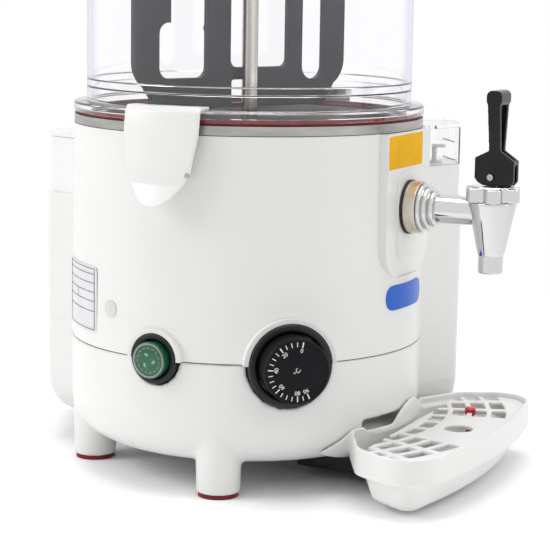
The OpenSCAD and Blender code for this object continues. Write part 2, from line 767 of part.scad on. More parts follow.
shank_end = tap_t - chamber_r - 0.5;
module tap_shank() color("gainsboro") at_angle(serve_a) difference() {
    radial(basin_r - 5, shank_end, shank_d, tap_z);
    radial(basin_r - 6, shank_end + 1, shank_d - 6, tap_z);
    translate([tap_t, 0, cone_top_z - fit]) cylinder(d = crown_d + 13, h = 10);
}

module tap_body() color("gainsboro") at_angle(serve_a) difference() {
    union() {
        translate([tap_t, 0, cone_foot_z])
            cylinder(d1 = spout_d + 0.6, d2 = cone_top_d, h = cone_top_z - cone_foot_z);
        translate([tap_t, 0, spout_z]) cylinder(d = spout_d, h = cone_foot_z - spout_z + eps);
    }
    radial(tap_t - 30, tap_t - chamber_r + 2, shank_d + 2 * fit, tap_z);
    translate([tap_t, 0, seat_z]) cylinder(r = chamber_r, h = 60);
    translate([tap_t, 0, seat_z - 5]) cylinder(r1 = 5.5, r2 = 7.5, h = 5 + eps);
    translate([tap_t, 0, spout_z - 1]) cylinder(r = 5.5, h = 60);
}

module tap_crown() color("gainsboro") at_angle(serve_a) difference() {
    translate([tap_t, 0, cone_top_z]) {
        cylinder(d = crown_d, h = crown_h);
        for (a = [0:60:300]) rotate([0, 0, a - 11])
            translate([crown_d / 2 - 1, 0, 0]) cylinder(d = 12.5, h = crown_h - 1.2);
        translate([0, 0, -4]) cylinder(r = chamber_r - fit, h = 5);
    }
    translate([tap_t, 0, cone_top_z - 10]) cylinder(r = stem_r + run, h = 40);
}

module tap_stem() color("silver") at_angle(serve_a) difference() {
    union() {
        translate([tap_t, 0, seat_z + 6]) cylinder(r = stem_r, h = pivot_z - seat_z - 16.5);
        intersection() {
            translate([tap_t - 10, -blade_half, pivot_z - 11]) cube([20, 2 * blade_half, 19]);
            union() {
                crosswise(tap_t, pivot_z, 9, 10);
                translate([tap_t, 0, pivot_z - 11]) cylinder(r = stem_r, h = 11);
            }
        }
    }
    crosswise(tap_t, pivot_z, lever_pin_d + 2 * fit, 10);
}

module tap_plug() color("ivory") at_angle(serve_a) translate([tap_t, 0, seat_z]) {
    translate([0, 0, 0.2]) cylinder(r = 8.6, h = 5.8);
}

module lever_pin() color("silver") at_angle(serve_a) {
    crosswise(tap_t, pivot_z, lever_pin_d, cheek_in + cheek_t + run);
    translate([0, -cheek_in - cheek_t - run - 0.7, 0]) crosswise(tap_t, pivot_z, 4.6, 0.8);
}

// side view of the lever's foot, x outwards and y up from its pin
module lever_foot_outline() difference() {
    polygon([[-12.2, -1], [-12.2, 13.4], [-2, 18.6], [6.3, 18.6], [16.5, 11.7], [16.5, -3], [14, -6],
             [-5.6, -6], [-9.4, -4.2]]);
    circle(d = lever_pin_d + 2 * fit);
}

module tap_lever() color("black") at_angle(serve_a) translate([tap_t, 0, pivot_z]) {
    for (s = [-1, 1]) {
        translate([0, s * (cheek_in + cheek_t / 2) + cheek_t / 2, 0]) rotate([90, 0, 0])
            linear_extrude(cheek_t) lever_foot_outline();
        hull() {
            translate([-2, s * (cheek_in + cheek_t / 2) - cheek_t / 2, 17.6]) cube([8.3, cheek_t, 1]);
            translate([-2.5, s * (bar_half - cheek_t / 2) - cheek_t / 2, 50]) cube([9, cheek_t, 1]);
        }
    }
    // bridge over the foot and bar across the top
    translate([-12.2, -cheek_in - eps, 10.5]) cube([10.2, 2 * cheek_in + 2 * eps, 2.9]);
    translate([6.3, -cheek_in - eps, 8.5]) cube([10.2, 2 * cheek_in + 2 * eps, 3.2]);
    translate([0, bar_half, 0]) rotate([90, 0, 0])
        linear_extrude(2 * bar_half) round_rect(-3.5, 7.7, 49.5, 60.7, 4);
}

// ---------- latches ----------

latch_pin_t = latch_r + latch_pin_out;
lug_r = 3.5;
module latch_brackets() color("white") for (a = latch_angles) at_angle(a) difference() {
    union() {
        crosswise(latch_pin_t, latch_pin_z, 2 * lug_r, latch_lug_half);
        translate([latch_r - 6, -latch_lug_half, latch_pin_z - lug_r])
            cube([6 + latch_pin_out, 2 * latch_lug_half, 2 * lug_r]);
    }
    crosswise(latch_pin_t, latch_pin_z, latch_pin_d, latch_lug_half + 1);
    rotate_extrude() upper_section(0.05);
}

module latch_pins() color("silver") for (a = latch_angles) at_angle(a) {
    crosswise(latch_pin_t, latch_pin_z, latch_pin_d, latch_lug_half + 3.6);
}

// half section of a latch: hook, back plate and flared tip
module latch_section() polygon([
    [latch_r - 7, latch_top_z + 2.6], [latch_r + 4.5, latch_top_z + 2.6], [latch_r + 7.6, latch_top_z - 0.8],
    [latch_r + 9, rim_z + 7], [latch_r + 12.6, latch_pin_z + 4], [latch_r + 13.2, latch_pin_z - 7],
    [latch_r + 20.5, latch_low_z], [latch_r + 17.8, latch_low_z], [latch_r + 10.6, latch_pin_z - 6],
    [latch_r + 10.2, latch_pin_z + 4], [latch_r + 6.4, rim_z + 7], [latch_r + 5, latch_top_z],
    [latch_r - 7, latch_top_z]
]);

// front view of a latch: x sideways and y up
module latch_outline() {
    half = latch_w / 2;
    top = latch_top_z + 2.6;
    intersection() {
        union() {
            polygon([[-half, top], [half, top], [half - 0.3, rim_z], [half - 4.5, latch_pin_z],
                     [half - 9, latch_low_z + 15], [half - 14.5, latch_low_z + 8],
                     [14.5 - half, latch_low_z + 8], [9 - half, latch_low_z + 15],
                     [4.5 - half, latch_pin_z], [0.3 - half, rim_z]]);
            translate([0, latch_low_z + 17]) circle(17);
        }
        translate([-half, latch_low_z]) square([2 * half, top - latch_low_z]);
    }
}

module latch(a) color("white") at_angle(a) difference() {
    union() {
        intersection() {
            rotate([0, 0, -20]) rotate_extrude(angle = 40) latch_section();
            translate([latch_r - 12, 0, 0]) rotate([90, 0, 90]) linear_extrude(40) latch_outline();
        }
        // cheeks that carry the pin
        for (s = [-1, 1]) translate([0, s * (latch_lug_half + run + 1.5) + 1.5, 0]) rotate([90, 0, 0])
            linear_extrude(3) polygon([
                [latch_r + 2.2, latch_pin_z - 4], [latch_r + 2.2, latch_pin_z + 6],
                [latch_r + 6.2, rim_z - 6], [latch_r + 8, rim_z - 6],
                [latch_r + 10.8, latch_pin_z], [latch_r + 9, latch_pin_z - 6]]);
    }
    crosswise(latch_pin_t, latch_pin_z, latch_pin_d + 2 * run, latch_lug_half + 10);
}

module front_latch() latch(latch_angles[0]);
module rear_latch() latch(latch_angles[1]);

// ---------- drip tray ----------

module tray_bracket() color([0.12, 0.12, 0.12]) at_angle(serve_a) difference() {
    union() {
        translate([body_r - 71, -34, ground_gap - 14]) cube([54, 68, 13.8]);
        translate([body_r - 18, -34, ground_gap - 14]) cube([22, 68, 16.6]);
    }
    translate([body_r - 66, -29, ground_gap - 15]) cube([60, 58, 10]);
}

// plan of the tray drawn in by d: an arched nose, round corners, and a narrower back
module tray_plan(d) offset(delta = -d) hull() {
    for (s = [-1, 1]) {
        translate([tray_front - 9 - tray_corner_r, s * (tray_half_w - tray_corner_r)])
            circle(tray_corner_r, $fn = 48);
        translate([tray_back + 30, s * (tray_half_w - 32)]) circle(22, $fn = hull_fn);
        translate([tray_back + 6, s * (tray_half_w - 60)]) circle(14, $fn = hull_fn);
    }
    intersection() {
        translate([tray_front - tray_nose_r, 0]) circle(tray_nose_r, $fn = 180);
        translate([tray_back + 30, tray_corner_r - tray_half_w])
            square([2 * tray_out, 2 * (tray_half_w - tray_corner_r)]);
    }
}

// the round body and its legs, grown by g, in the serving frame
module tray_body_clear(g) rotate([0, 0, 90 - serve_a]) {
    body_volume(g, seam_z);
    for (a = leg_angles) at_angle(a) leg_shape(g + 1);
}

// hollow of the tray: a shallow seat for the grid and the tub below it
module tray_hollow() difference() {
    union() {
        translate([0, 0, grid_z]) linear_extrude(20) tray_plan(tray_wall);
        translate([0, 0, tray_skirt_z + tray_wall]) linear_extrude(20) tray_plan(tray_wall + 2);
        hull() {
            translate([0, 0, tray_skirt_z - 1]) linear_extrude(tray_wall + 2) tray_plan(tub_inset + 2.5);
            translate([0, 0, tray_floor_z + tray_wall]) linear_extrude(1) tray_plan(tub_inset + 11);
        }
    }
    rotate([0, 0, 90 - serve_a]) body_volume(tray_gap + tray_wall, seam_z);
    for (a = leg_angles) rotate([0, 0, 90 - serve_a]) at_angle(a) leg_shape(tray_gap + tray_wall + 1);
    translate([0, -half_room - tray_wall, 0])
        cube([bracket_room_t + tray_wall, 2 * (half_room + tray_wall), tray_skirt_z + tray_wall]);
}

half_room = 40;         // half the width of the room under the tray for its bracket
bracket_room_t = body_r + 7;
module drip_tray($fn = 60) color("white") at_angle(serve_a) {
    difference() {
        union() {
            // upright skirt, then a tub drawn in below it
            translate([0, 0, tray_skirt_z]) linear_extrude(tray_rim_z - tray_skirt_z) tray_plan(0);
            hull() {
                translate([0, 0, tray_skirt_z - 4]) linear_extrude(4.1) tray_plan(tub_inset);
                translate([0, 0, tray_floor_z + 4]) linear_extrude(1) tray_plan(tub_inset + 4);
                translate([0, 0, tray_floor_z]) linear_extrude(1) tray_plan(tub_inset + 10);
            }
            // ears and wings that hug the body
            intersection() {
                rotate([0, 0, 90 - serve_a]) body_volume(tray_gap + tray_wall, seam_z);
                union() {
                    ear(-28) polygon([
                        [-23, -13], [-16, -8.5], [-10, -4.3], [-5.3, -0.2], [-2, 2.4], [0.5, 3.2], [8, 3.2],
                        [10.5, 1.5], [12.5, -3], [12.5, -23], [7, -23], [-6, -20], [-15, -17.5],
                        [-22, -14.5]]);
                    ear(2) polygon([
                        [-31, -8], [-28, -1], [-24, 4], [-18, 8.8], [-11, 12], [-3, 13.6], [5, 13.3],
                        [13, 10.8], [20, 7], [26, 2], [31, -8]]);
                }
            }
        }
        tray_hollow();
        tray_body_clear(tray_gap);
        translate([0, -half_room, tray_floor_z - 5])
            cube([bracket_room_t, 2 * half_room, tray_skirt_z - tray_floor_z + 5]);
    }
    // tongue that slides into the body's pocket
    translate([0, 0, tongue_z - 2.5]) rotate([0, 0, -20]) rotate_extrude(angle = 40)
        translate([body_r - pocket_depth + 4, 0]) square([pocket_depth + tray_gap - 3, 2.5]);
}

// a front view, x sideways and y over the tray's rim, pushed outwards at angle a
module ear(a) rotate([0, 0, a]) translate([body_r - 40, 0, tray_rim_z]) rotate([90, 0, 90])
    linear_extrude(60) children();

module drip_grid() color("white") at_angle(serve_a) difference() {
    intersection() {
        translate([0, 0, grid_z + 0.3]) linear_extrude(grid_t) tray_plan(tray_wall + 0.6);
        translate([body_r + tray_gap + tray_wall + 1, -tray_half_w, 0]) cube([100, 2 * tray_half_w, 100]);
    }
    tray_body_clear(tray_gap + tray_wall + 1);
    translate([hole_t, 0, 0]) cylinder(d = 21, h = 100);
    // arcs of slots centred on the body, cut in cells by radial bars
    for (k = [0:3], j = [-4:4]) {
        r0 = body_r + 12 + k * 14.5;
        mid = j * 8.6;
        if (!(abs(mid) < 9 && k > 0 && k < 4)) slot_cell(r0, mid);
    }
    translate([float_t, float_s, 0]) cylinder(d = 11, h = 100);
}

module slot_cell(r0, mid) rotate([0, 0, mid - 3.3]) rotate_extrude(angle = 6.6)
    translate([r0, grid_z - 5]) square([10.5, 20]);

module tray_float() color("red") at_angle(serve_a) translate([float_t, float_s, 0]) {
    inside_z = tray_floor_z + tray_wall;
    grid_top_z = grid_z + grid_t;
    translate([0, 0, inside_z + 0.3]) cylinder(d = 18, h = 7);
    translate([0, 0, inside_z + 7]) cylinder(d = 6, h = grid_top_z - inside_z - 7);
    translate([0, 0, grid_top_z - 2]) cylinder(d = 8, h = 4);
    translate([0, 0, grid_top_z + 2 - eps]) cylinder(d1 = 8, d2 = 5, h = 1.5);
}

module terminal_block() color("ivory")
    translate([rear_shift - 0.93 * body_r, rear_back - 38, rear_top_z - rear_in - 18]) cube([42, 16, 17.7]);

lower_shell();
upper_shell();
base_plate();
base_screws();
foot_pads();
rear_lower_cover();
rear_upper_cover();
rear_panel();
panel_screws();
cable_gland();
filler_box();
filler_cap();
level_box();
level_lid();
level_float();
steel_basin();
water_jacket();
heating_element();
shaft_seal();
motor_bracket();
gear_motor();
drive_coupling();
bowl_gasket();
bowl();
lid();
lid_knob();
stirrer_shaft();
stirrer_paddle();
basin_scraper();
dial_bezel();
dial_knob();
thermostat();
button_bezel();
button_lens();
switch_body();
tap_gasket();
tap_collar();
tap_nut();
tap_shank();
tap_body();
tap_crown();
tap_stem();
tap_plug();
lever_pin();
tap_lever();
latch_brackets();
latch_pins();
front_latch();
rear_latch();
tray_bracket();
drip_tray();
drip_grid();
tray_float();
terminal_block();
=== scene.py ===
"""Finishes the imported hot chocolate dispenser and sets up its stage."""
import json
import math

import bpy
from mathutils import Matrix, Vector

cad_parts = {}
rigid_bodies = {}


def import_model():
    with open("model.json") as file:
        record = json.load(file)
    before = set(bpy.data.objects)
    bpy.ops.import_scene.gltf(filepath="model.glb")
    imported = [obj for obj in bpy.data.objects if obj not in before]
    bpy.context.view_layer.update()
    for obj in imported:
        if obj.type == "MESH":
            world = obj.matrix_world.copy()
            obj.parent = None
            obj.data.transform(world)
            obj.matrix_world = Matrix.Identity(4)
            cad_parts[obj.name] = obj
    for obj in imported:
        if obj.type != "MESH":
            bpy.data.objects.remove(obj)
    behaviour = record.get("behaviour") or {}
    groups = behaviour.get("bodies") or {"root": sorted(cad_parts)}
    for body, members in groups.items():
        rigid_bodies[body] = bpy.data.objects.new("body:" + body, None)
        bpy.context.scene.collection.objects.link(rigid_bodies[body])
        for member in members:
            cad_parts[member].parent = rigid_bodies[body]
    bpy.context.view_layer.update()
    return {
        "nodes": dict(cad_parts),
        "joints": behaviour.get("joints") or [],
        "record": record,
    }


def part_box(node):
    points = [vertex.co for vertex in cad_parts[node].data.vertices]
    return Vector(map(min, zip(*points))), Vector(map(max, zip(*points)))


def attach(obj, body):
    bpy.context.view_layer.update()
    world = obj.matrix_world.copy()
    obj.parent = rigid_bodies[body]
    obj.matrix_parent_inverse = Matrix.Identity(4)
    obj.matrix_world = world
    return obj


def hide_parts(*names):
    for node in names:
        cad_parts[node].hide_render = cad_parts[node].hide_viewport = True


bl_info = {
    "name": "Hot Chocolate Dispenser",
    "version": (1, 0, 0),
    "blender": (4, 5, 0),
    "location": "View3D > Sidebar > Dispenser",
    "description": "Finishes the packed hot chocolate dispenser and sets up its stage",
    "category": "Object",
}

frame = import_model()
MM = 0.001
JOINTS = {joint["name"]: joint for joint in frame["joints"]}


def angle_of(name):
    """Angle round the body of a joint's axis, from the front towards the right."""
    x, y, z = JOINTS[name]["axis"]
    return math.degrees(math.atan2(x, -y))


def reach(node, angle):
    """How far a node stands out from the body's axis at an angle, in millimetres."""
    out = (math.sin(math.radians(angle)), -math.cos(math.radians(angle)))
    return max(v.co.x * out[0] + v.co.y * out[1] for v in frame["nodes"][node].data.vertices) / MM


def top(node):
    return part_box(node)[1][2] / MM


def low(node):
    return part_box(node)[0][2] / MM


# radii, heights and angles round the body, in millimetres and degrees
BODY_R = 131
BAND_R = 129
SEAM_Z = low("upper_shell")
RIM_Z = top("upper_shell")
DIAL_A = angle_of("dial_turn")
DIAL_Z = JOINTS["dial_turn"]["pos_m"][2] / MM
BUTTON_A = -28
SERVE_A = angle_of("tray_pull")
SPOUT_R = 192
FIELD_OUT = 128.5


# ---------- sizes and colours that a user would change ----------

class DispenserSizes(bpy.types.PropertyGroup):
    edge: bpy.props.FloatProperty(
        name="Shell edge", description="Rounding of the white shells' edges", default=0.7 * MM,
        min=0.2 * MM, max=2 * MM, unit="LENGTH")
    trim_edge: bpy.props.FloatProperty(
        name="Trim edge", description="Rounding of small parts' edges", default=0.5 * MM,
        min=0.1 * MM, max=1 * MM, unit="LENGTH")
    tick: bpy.props.FloatProperty(
        name="Tick length", description="Length of a mark on the dial", default=3.2 * MM,
        min=2 * MM, max=5 * MM, unit="LENGTH")
    digit: bpy.props.FloatProperty(
        name="Digit size", description="Size of the dial's numbers", default=4.0 * MM,
        min=2 * MM, max=6 * MM, unit="LENGTH")
    film: bpy.props.FloatProperty(
        name="Sticker thickness", description="Thickness of a sticker", default=0.18 * MM,
        min=0.05 * MM, max=0.5 * MM, unit="LENGTH")


class DispenserColours(bpy.types.PropertyGroup):
    body: bpy.props.FloatVectorProperty(
        name="Body", description="Colour of the white shells", default=(0.84, 0.84, 0.825),
        subtype="COLOR", min=0, max=1)
    tray: bpy.props.FloatVectorProperty(
        name="Tray", description="Colour of the drip tray and its grid", default=(0.86, 0.86, 0.85),
        subtype="COLOR", min=0, max=1)
    rubber: bpy.props.FloatVectorProperty(
        name="Red rubber", description="Colour of the feet and the gasket", default=(0.19, 0.007, 0.01),
        subtype="COLOR", min=0, max=1)
    button: bpy.props.FloatVectorProperty(
        name="Button", description="Colour of the button's lens", default=(0.005, 0.085, 0.036),
        subtype="COLOR", min=0, max=1)
    paddle: bpy.props.FloatVectorProperty(
        name="Paddle", description="Colour of the stirrer paddle", default=(0.027, 0.029, 0.036),
        subtype="COLOR", min=0, max=1)
    amber: bpy.props.FloatVectorProperty(
        name="Amber film", description="Colour of the plain sticker by the tap", default=(0.93, 0.5, 0.008),
        subtype="COLOR", min=0, max=1)
    badge: bpy.props.FloatVectorProperty(
        name="Badge", description="Colour of the blank badge", default=(0.014, 0.13, 0.62),
        subtype="COLOR", min=0, max=1)


# ---------- materials ----------

def new_material(colour, roughness, **sockets):
    """A material with plain values on its shader's own sockets."""
    material = bpy.data.materials.new("finish")
    material.use_nodes = True
    shader = shader_of(material)
    shader.inputs["Base Color"].default_value = (*colour, 1)
    shader.inputs["Roughness"].default_value = roughness
    for socket, value in sockets.items():
        shader.inputs[socket.replace("_", " ")].default_value = value
    return material


def shader_of(material):
    return material.node_tree.nodes["Principled BSDF"]


def add_node(material, kind, **values):
    node = material.node_tree.nodes.new(kind)
    for key, value in values.items():
        if key in node.inputs:
            node.inputs[key].default_value = value
        else:
            setattr(node, key, value)
    return node


def link(material, source, target):
    material.node_tree.links.new(source, target)


def map_range(material, *limits):
    """Maps one range of values to another: from low, from high, to low, to high."""
    node = add_node(material, "ShaderNodeMapRange")
    for name, value in zip(("From Min", "From Max", "To Min", "To Max"), limits):
        node.inputs[name].default_value = value
    return node


def colour_ramp(material, *stops):
    """A colour ramp with a stop for each position and colour."""
    node = add_node(material, "ShaderNodeValToRGB")
    elements = node.color_ramp.elements
    elements.remove(elements[-1])
    elements[0].position = stops[0][0]
    elements[0].color = (*stops[0][1], 1)
    for position, colour in stops[1:]:
        elements.new(position).color = (*colour, 1)
    return node


def object_noise(material, scale, detail=3.0, stretch=(1, 1, 1)):
    """Noise on Object coordinates, stretched along the axes."""
    place = add_node(material, "ShaderNodeTexCoord")
    turn = add_node(material, "ShaderNodeMapping", Scale=stretch)
    noise = add_node(material, "ShaderNodeTexNoise", Scale=scale, Detail=detail)
    link(material, place.outputs["Object"], turn.inputs["Vector"])
    link(material, turn.outputs["Vector"], noise.inputs["Vector"])
    return noise.outputs["Fac"]


def add_grain(material, scale, height, edge=0.0, stretch=(1, 1, 1)):
    """Fine surface relief, over edges that are rounded by the radius edge."""
    bump = add_node(material, "ShaderNodeBump", Strength=0.6, Distance=height)
    link(material, object_noise(material, scale, stretch=stretch), bump.inputs["Height"])
    if edge:
        rounding = add_node(material, "ShaderNodeBevel", Radius=edge, samples=6)
        link(material, rounding.outputs["Normal"], bump.inputs["Normal"])
    link(material, bump.outputs["Normal"], shader_of(material).inputs["Normal"])


def vary(material, socket, low, high, scale, stretch=(1, 1, 1)):
    """Lets a value drift between low and high over the surface."""
    spread = map_range(material, 0.3, 0.7, low, high)
    link(material, object_noise(material, scale, stretch=stretch), spread.inputs["Value"])
    link(material, spread.outputs["Result"], shader_of(material).inputs[socket])


def tint(material, low, high, scale, stretch=(1, 1, 1)):
    """Lets the colour drift between two close tones over the surface."""
    ramp = colour_ramp(material, (0.35, low), (0.65, high))
    link(material, object_noise(material, scale, stretch=stretch), ramp.inputs["Fac"])
    link(material, ramp.outputs["Color"], shader_of(material).inputs["Base Color"])


def shade(colour, factor):
    return tuple(min(1.0, part * factor) for part in colour)


def trim_edge():
    return bpy.context.scene.dispenser_sizes.trim_edge


MATERIALS = {}


def finish(name):
    """The material of that name, made once and named after its function."""
    if name not in MATERIALS:
        MATERIALS[name] = FINISHES[name]()
        MATERIALS[name].name = name
    return MATERIALS[name]


def moulded_plastic(colour, roughness, edge, **sockets):
    """Smooth glossy plastic, its edges rounded by the radius edge."""
    material = new_material(colour, roughness, Coat_Weight=0.12, Coat_Roughness=0.12, IOR=1.5, **sockets)
    tint(material, shade(colour, 0.995), shade(colour, 1.0), 6)
    rounding = add_node(material, "ShaderNodeBevel", Radius=edge, samples=8)
    link(material, rounding.outputs["Normal"], shader_of(material).inputs["Normal"])
    return material


def white_shell():
    scene = bpy.context.scene
    return moulded_plastic(scene.dispenser_colours.body, 0.27, edge=scene.dispenser_sizes.edge)


def tray_white():
    return moulded_plastic(bpy.context.scene.dispenser_colours.tray, 0.36, edge=0.6 * MM)


def milky_plastic():
    return moulded_plastic((0.86, 0.87, 0.86), 0.32, edge=0.6 * MM, Subsurface_Weight=0.25,
                           Subsurface_Radius=(0.004, 0.004, 0.004))


def clear_plastic():
    """Clear with violet edges, where it is seen at a flat angle."""
    material = new_material((1.0, 1.0, 1.0), 0.01, IOR=1.45, Transmission_Weight=1.0,
                            Specular_IOR_Level=0.22)
    facing = add_node(material, "ShaderNodeLayerWeight", Blend=0.5)
    ramp = colour_ramp(material, (0.68, (0.992, 0.99, 1.0)), (0.98, (0.48, 0.43, 0.9)))
    link(material, facing.outputs["Facing"], ramp.inputs["Fac"])
    link(material, ramp.outputs["Color"], shader_of(material).inputs["Base Color"])
    vary(material, "Roughness", 0.01, 0.025, 30)
    return material


def smoky_clear():
    material = new_material((0.985, 0.987, 0.99), 0.02, IOR=1.49, Transmission_Weight=1.0)
    vary(material, "Roughness", 0.012, 0.035, 60)
    return material


def brushed_steel():
    material = new_material((0.46, 0.44, 0.41), 0.3, Metallic=1.0)
    tint(material, (0.42, 0.4, 0.37), (0.5, 0.48, 0.45), 40, stretch=(1, 1, 0.1))
    vary(material, "Roughness", 0.13, 0.22, 120, stretch=(1, 1, 0.1))
    add_grain(material, 500, 0.004 * MM, stretch=(1, 1, 0.06))
    return material


def drawn_steel_and_painted_reflections():
    """Bright drawn rod with streaks along its length, partly fine drawing marks and partly painted
    reflections.
    """
    material = new_material((0.48, 0.45, 0.41), 0.2, Metallic=1.0)
    # painted reflection: the darker and lighter streaks along the rod stand in for mirrored bands of light,
    # over its fine drawing marks
    tint(material, (0.3, 0.28, 0.25), (0.66, 0.63, 0.58), 260, stretch=(1, 1, 0.01))
    vary(material, "Roughness", 0.12, 0.26, 300, stretch=(1, 1, 0.02))
    return material


def basin_steel():
    material = new_material((0.4, 0.39, 0.372), 0.34, Metallic=1.0)
    tint(material, (0.355, 0.345, 0.328), (0.445, 0.435, 0.416), 30, stretch=(1, 1, 5))
    vary(material, "Roughness", 0.3, 0.44, 90, stretch=(1, 1, 10))
    add_grain(material, 420, 0.012 * MM, stretch=(1, 1, 12))
    return material


def warm_steel():
    material = new_material((0.63, 0.57, 0.49), 0.3, Metallic=1.0)
    tint(material, (0.56, 0.5, 0.42), (0.7, 0.64, 0.56), 30)
    vary(material, "Roughness", 0.24, 0.38, 160)
    add_grain(material, 600, 0.01 * MM)
    return material


def dial_black():
    material = new_material((0.006, 0.006, 0.008), 0.5, Specular_IOR_Level=0.13)
    tint(material, (0.005, 0.005, 0.007), (0.008, 0.008, 0.01), 60)
    vary(material, "Roughness", 0.45, 0.56, 140)
    return material


def seam_shade():
    material = new_material((0.06, 0.06, 0.058), 0.8)
    tint(material, (0.05, 0.05, 0.048), (0.07, 0.07, 0.067), 80)
    return material


def lens_rim():
    material = new_material((0.34, 0.34, 0.33), 0.35, Metallic=0.4)
    tint(material, (0.3, 0.3, 0.29), (0.38, 0.38, 0.37), 200)
    return material


def turned_steel():
    material = new_material((0.42, 0.41, 0.4), 0.22, Metallic=1.0)
    vary(material, "Roughness", 0.16, 0.3, 200, stretch=(0.2, 0.2, 3))
    add_grain(material, 700, 0.008 * MM, stretch=(0.3, 0.3, 4), edge=0.4 * MM)
    return material


def zinc_sheet():
    material = new_material((0.5, 0.51, 0.52), 0.38, Metallic=1.0)
    tint(material, (0.44, 0.45, 0.46), (0.57, 0.58, 0.59), 60)
    vary(material, "Roughness", 0.3, 0.5, 90)
    add_grain(material, 260, 0.02 * MM)
    return material


def cast_metal():
    material = new_material((0.32, 0.33, 0.34), 0.55, Metallic=0.8)
    tint(material, (0.27, 0.28, 0.29), (0.37, 0.38, 0.39), 70)
    add_grain(material, 420, 0.12 * MM, edge=1.0 * MM)
    return material


def chrome():
    material = new_material((0.645, 0.645, 0.645), 0.06, Metallic=1.0)
    vary(material, "Roughness", 0.04, 0.09, 60)
    add_grain(material, 120, 0.01 * MM, edge=trim_edge())
    return material


def red_rubber():
    colour = bpy.context.scene.dispenser_colours.rubber
    material = new_material(colour, 0.5, Specular_IOR_Level=0.4)
    tint(material, shade(colour, 0.8), shade(colour, 1.25), 60)
    vary(material, "Roughness", 0.42, 0.62, 80)
    add_grain(material, 600, 0.03 * MM, edge=trim_edge())
    return material


def black_rubber():
    material = new_material((0.012, 0.012, 0.013), 0.55)
    tint(material, (0.009, 0.009, 0.01), (0.018, 0.018, 0.019), 70)
    add_grain(material, 700, 0.03 * MM, edge=0.4 * MM)
    return material


def black_plastic():
    material = new_material((0.008, 0.008, 0.009), 0.42, Specular_IOR_Level=0.35)
    tint(material, (0.007, 0.007, 0.008), (0.012, 0.012, 0.013), 50)
    vary(material, "Roughness", 0.36, 0.5, 120)
    add_grain(material, 1500, 0.03 * MM, edge=trim_edge())
    return material


def lever_black():
    material = new_material((0.005, 0.005, 0.006), 0.2, Specular_IOR_Level=0.3)
    tint(material, (0.004, 0.004, 0.005), (0.008, 0.008, 0.009), 40)
    vary(material, "Roughness", 0.16, 0.26, 50)
    add_grain(material, 300, 0.01 * MM)
    return material


def charcoal_plastic():
    colour = bpy.context.scene.dispenser_colours.paddle
    material = new_material(colour, 0.4, Specular_IOR_Level=0.3)
    tint(material, shade(colour, 0.85), shade(colour, 1.15), 30)
    vary(material, "Roughness", 0.3, 0.44, 60)
    add_grain(material, 800, 0.03 * MM, edge=0.8 * MM)
    return material


def green_lens():
    colour = bpy.context.scene.dispenser_colours.button
    material = new_material(colour, 0.18, Coat_Weight=0.6, Coat_Roughness=0.08)
    tint(material, shade(colour, 0.75), shade(colour, 1.3), 180)
    add_grain(material, 500, 0.03 * MM, edge=trim_edge())
    return material


def lens_mark():
    material = new_material((0.14, 0.46, 0.3), 0.35)
    tint(material, (0.12, 0.42, 0.27), (0.17, 0.52, 0.34), 300)
    return material


def white_print():
    material = new_material((0.82, 0.82, 0.8), 0.5)
    tint(material, (0.76, 0.76, 0.74), (0.86, 0.86, 0.84), 400)
    return material


def red_plastic():
    material = new_material((0.55, 0.008, 0.012), 0.25, Coat_Weight=0.3)
    tint(material, (0.5, 0.006, 0.01), (0.62, 0.012, 0.016), 90)
    add_grain(material, 500, 0.02 * MM, edge=trim_edge())
    return material


def ivory_plastic():
    material = new_material((0.72, 0.69, 0.58), 0.45)
    tint(material, (0.68, 0.65, 0.54), (0.76, 0.73, 0.62), 40)
    add_grain(material, 500, 0.03 * MM, edge=trim_edge())
    return material


def film_material(colour, roughness, shine=0.18):
    material = new_material(colour, roughness, Specular_IOR_Level=shine)
    tint(material, shade(colour, 0.96), shade(colour, 1.03), 50)
    vary(material, "Roughness", roughness * 0.85, roughness * 1.2, 90)
    return material


def amber_film():
    return film_material(bpy.context.scene.dispenser_colours.amber, 0.4, shine=0.04)


def badge_blue():
    return film_material(bpy.context.scene.dispenser_colours.badge, 0.2)


def plate_film():
    return film_material((0.74, 0.75, 0.76), 0.35)


def pale_film():
    return film_material((0.7, 0.7, 0.68), 0.4)


def grey_print():
    return film_material((0.1, 0.1, 0.11), 0.5)


FINISHES = {maker.__name__: maker for maker in (
    white_shell, tray_white, milky_plastic, clear_plastic, smoky_clear, brushed_steel, turned_steel,
    basin_steel, warm_steel, drawn_steel_and_painted_reflections, dial_black, seam_shade, lens_rim, zinc_sheet, cast_metal,
    chrome, red_rubber, black_rubber, black_plastic, lever_black, charcoal_plastic, green_lens,
    lens_mark, white_print, red_plastic, ivory_plastic, amber_film, badge_blue, plate_film, pale_film,
    grey_print,
)}


# ---------- shared steps ----------

def take(*objects):
    """Selects these objects alone, the first one active."""
    if bpy.context.object and bpy.context.object.mode != "OBJECT":
        bpy.ops.object.mode_set(mode="OBJECT")
    bpy.ops.object.select_all(action="DESELECT")
    for item in objects:
        item.select_set(True)
    bpy.context.view_layer.objects.active = objects[0]


def coat(item, name):
    """Gives every material slot of an object the finish of that name."""
    if not item.material_slots:
        item.data.materials.append(finish(name))
    for place in item.material_slots:
        place.link = "OBJECT"
        place.material = finish(name)


def coat_nodes(name, *nodes):
    for node in nodes:
        coat(frame["nodes"][node], name)


def body_of(node):
    for body, nodes in frame["record"]["behaviour"]["bodies"].items():
        if node in nodes:
            return body
    raise ValueError(f"{node} is in no body")


def settle(piece, name, finish_name, node, replaces=True):
    """Names and coats a finished piece, and makes it ride with the node that it stands for or sits on."""
    piece.name = name
    piece.data.name = name
    coat(piece, finish_name)
    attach(piece, body_of(node))
    if replaces:
        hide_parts(node)
    return piece


def apply_modifier(piece, kind, **values):
    take(piece)
    modifier = piece.modifiers.new(kind.title(), kind)
    for key, value in values.items():
        setattr(modifier, key, value)
    bpy.ops.object.modifier_apply(modifier=modifier.name)


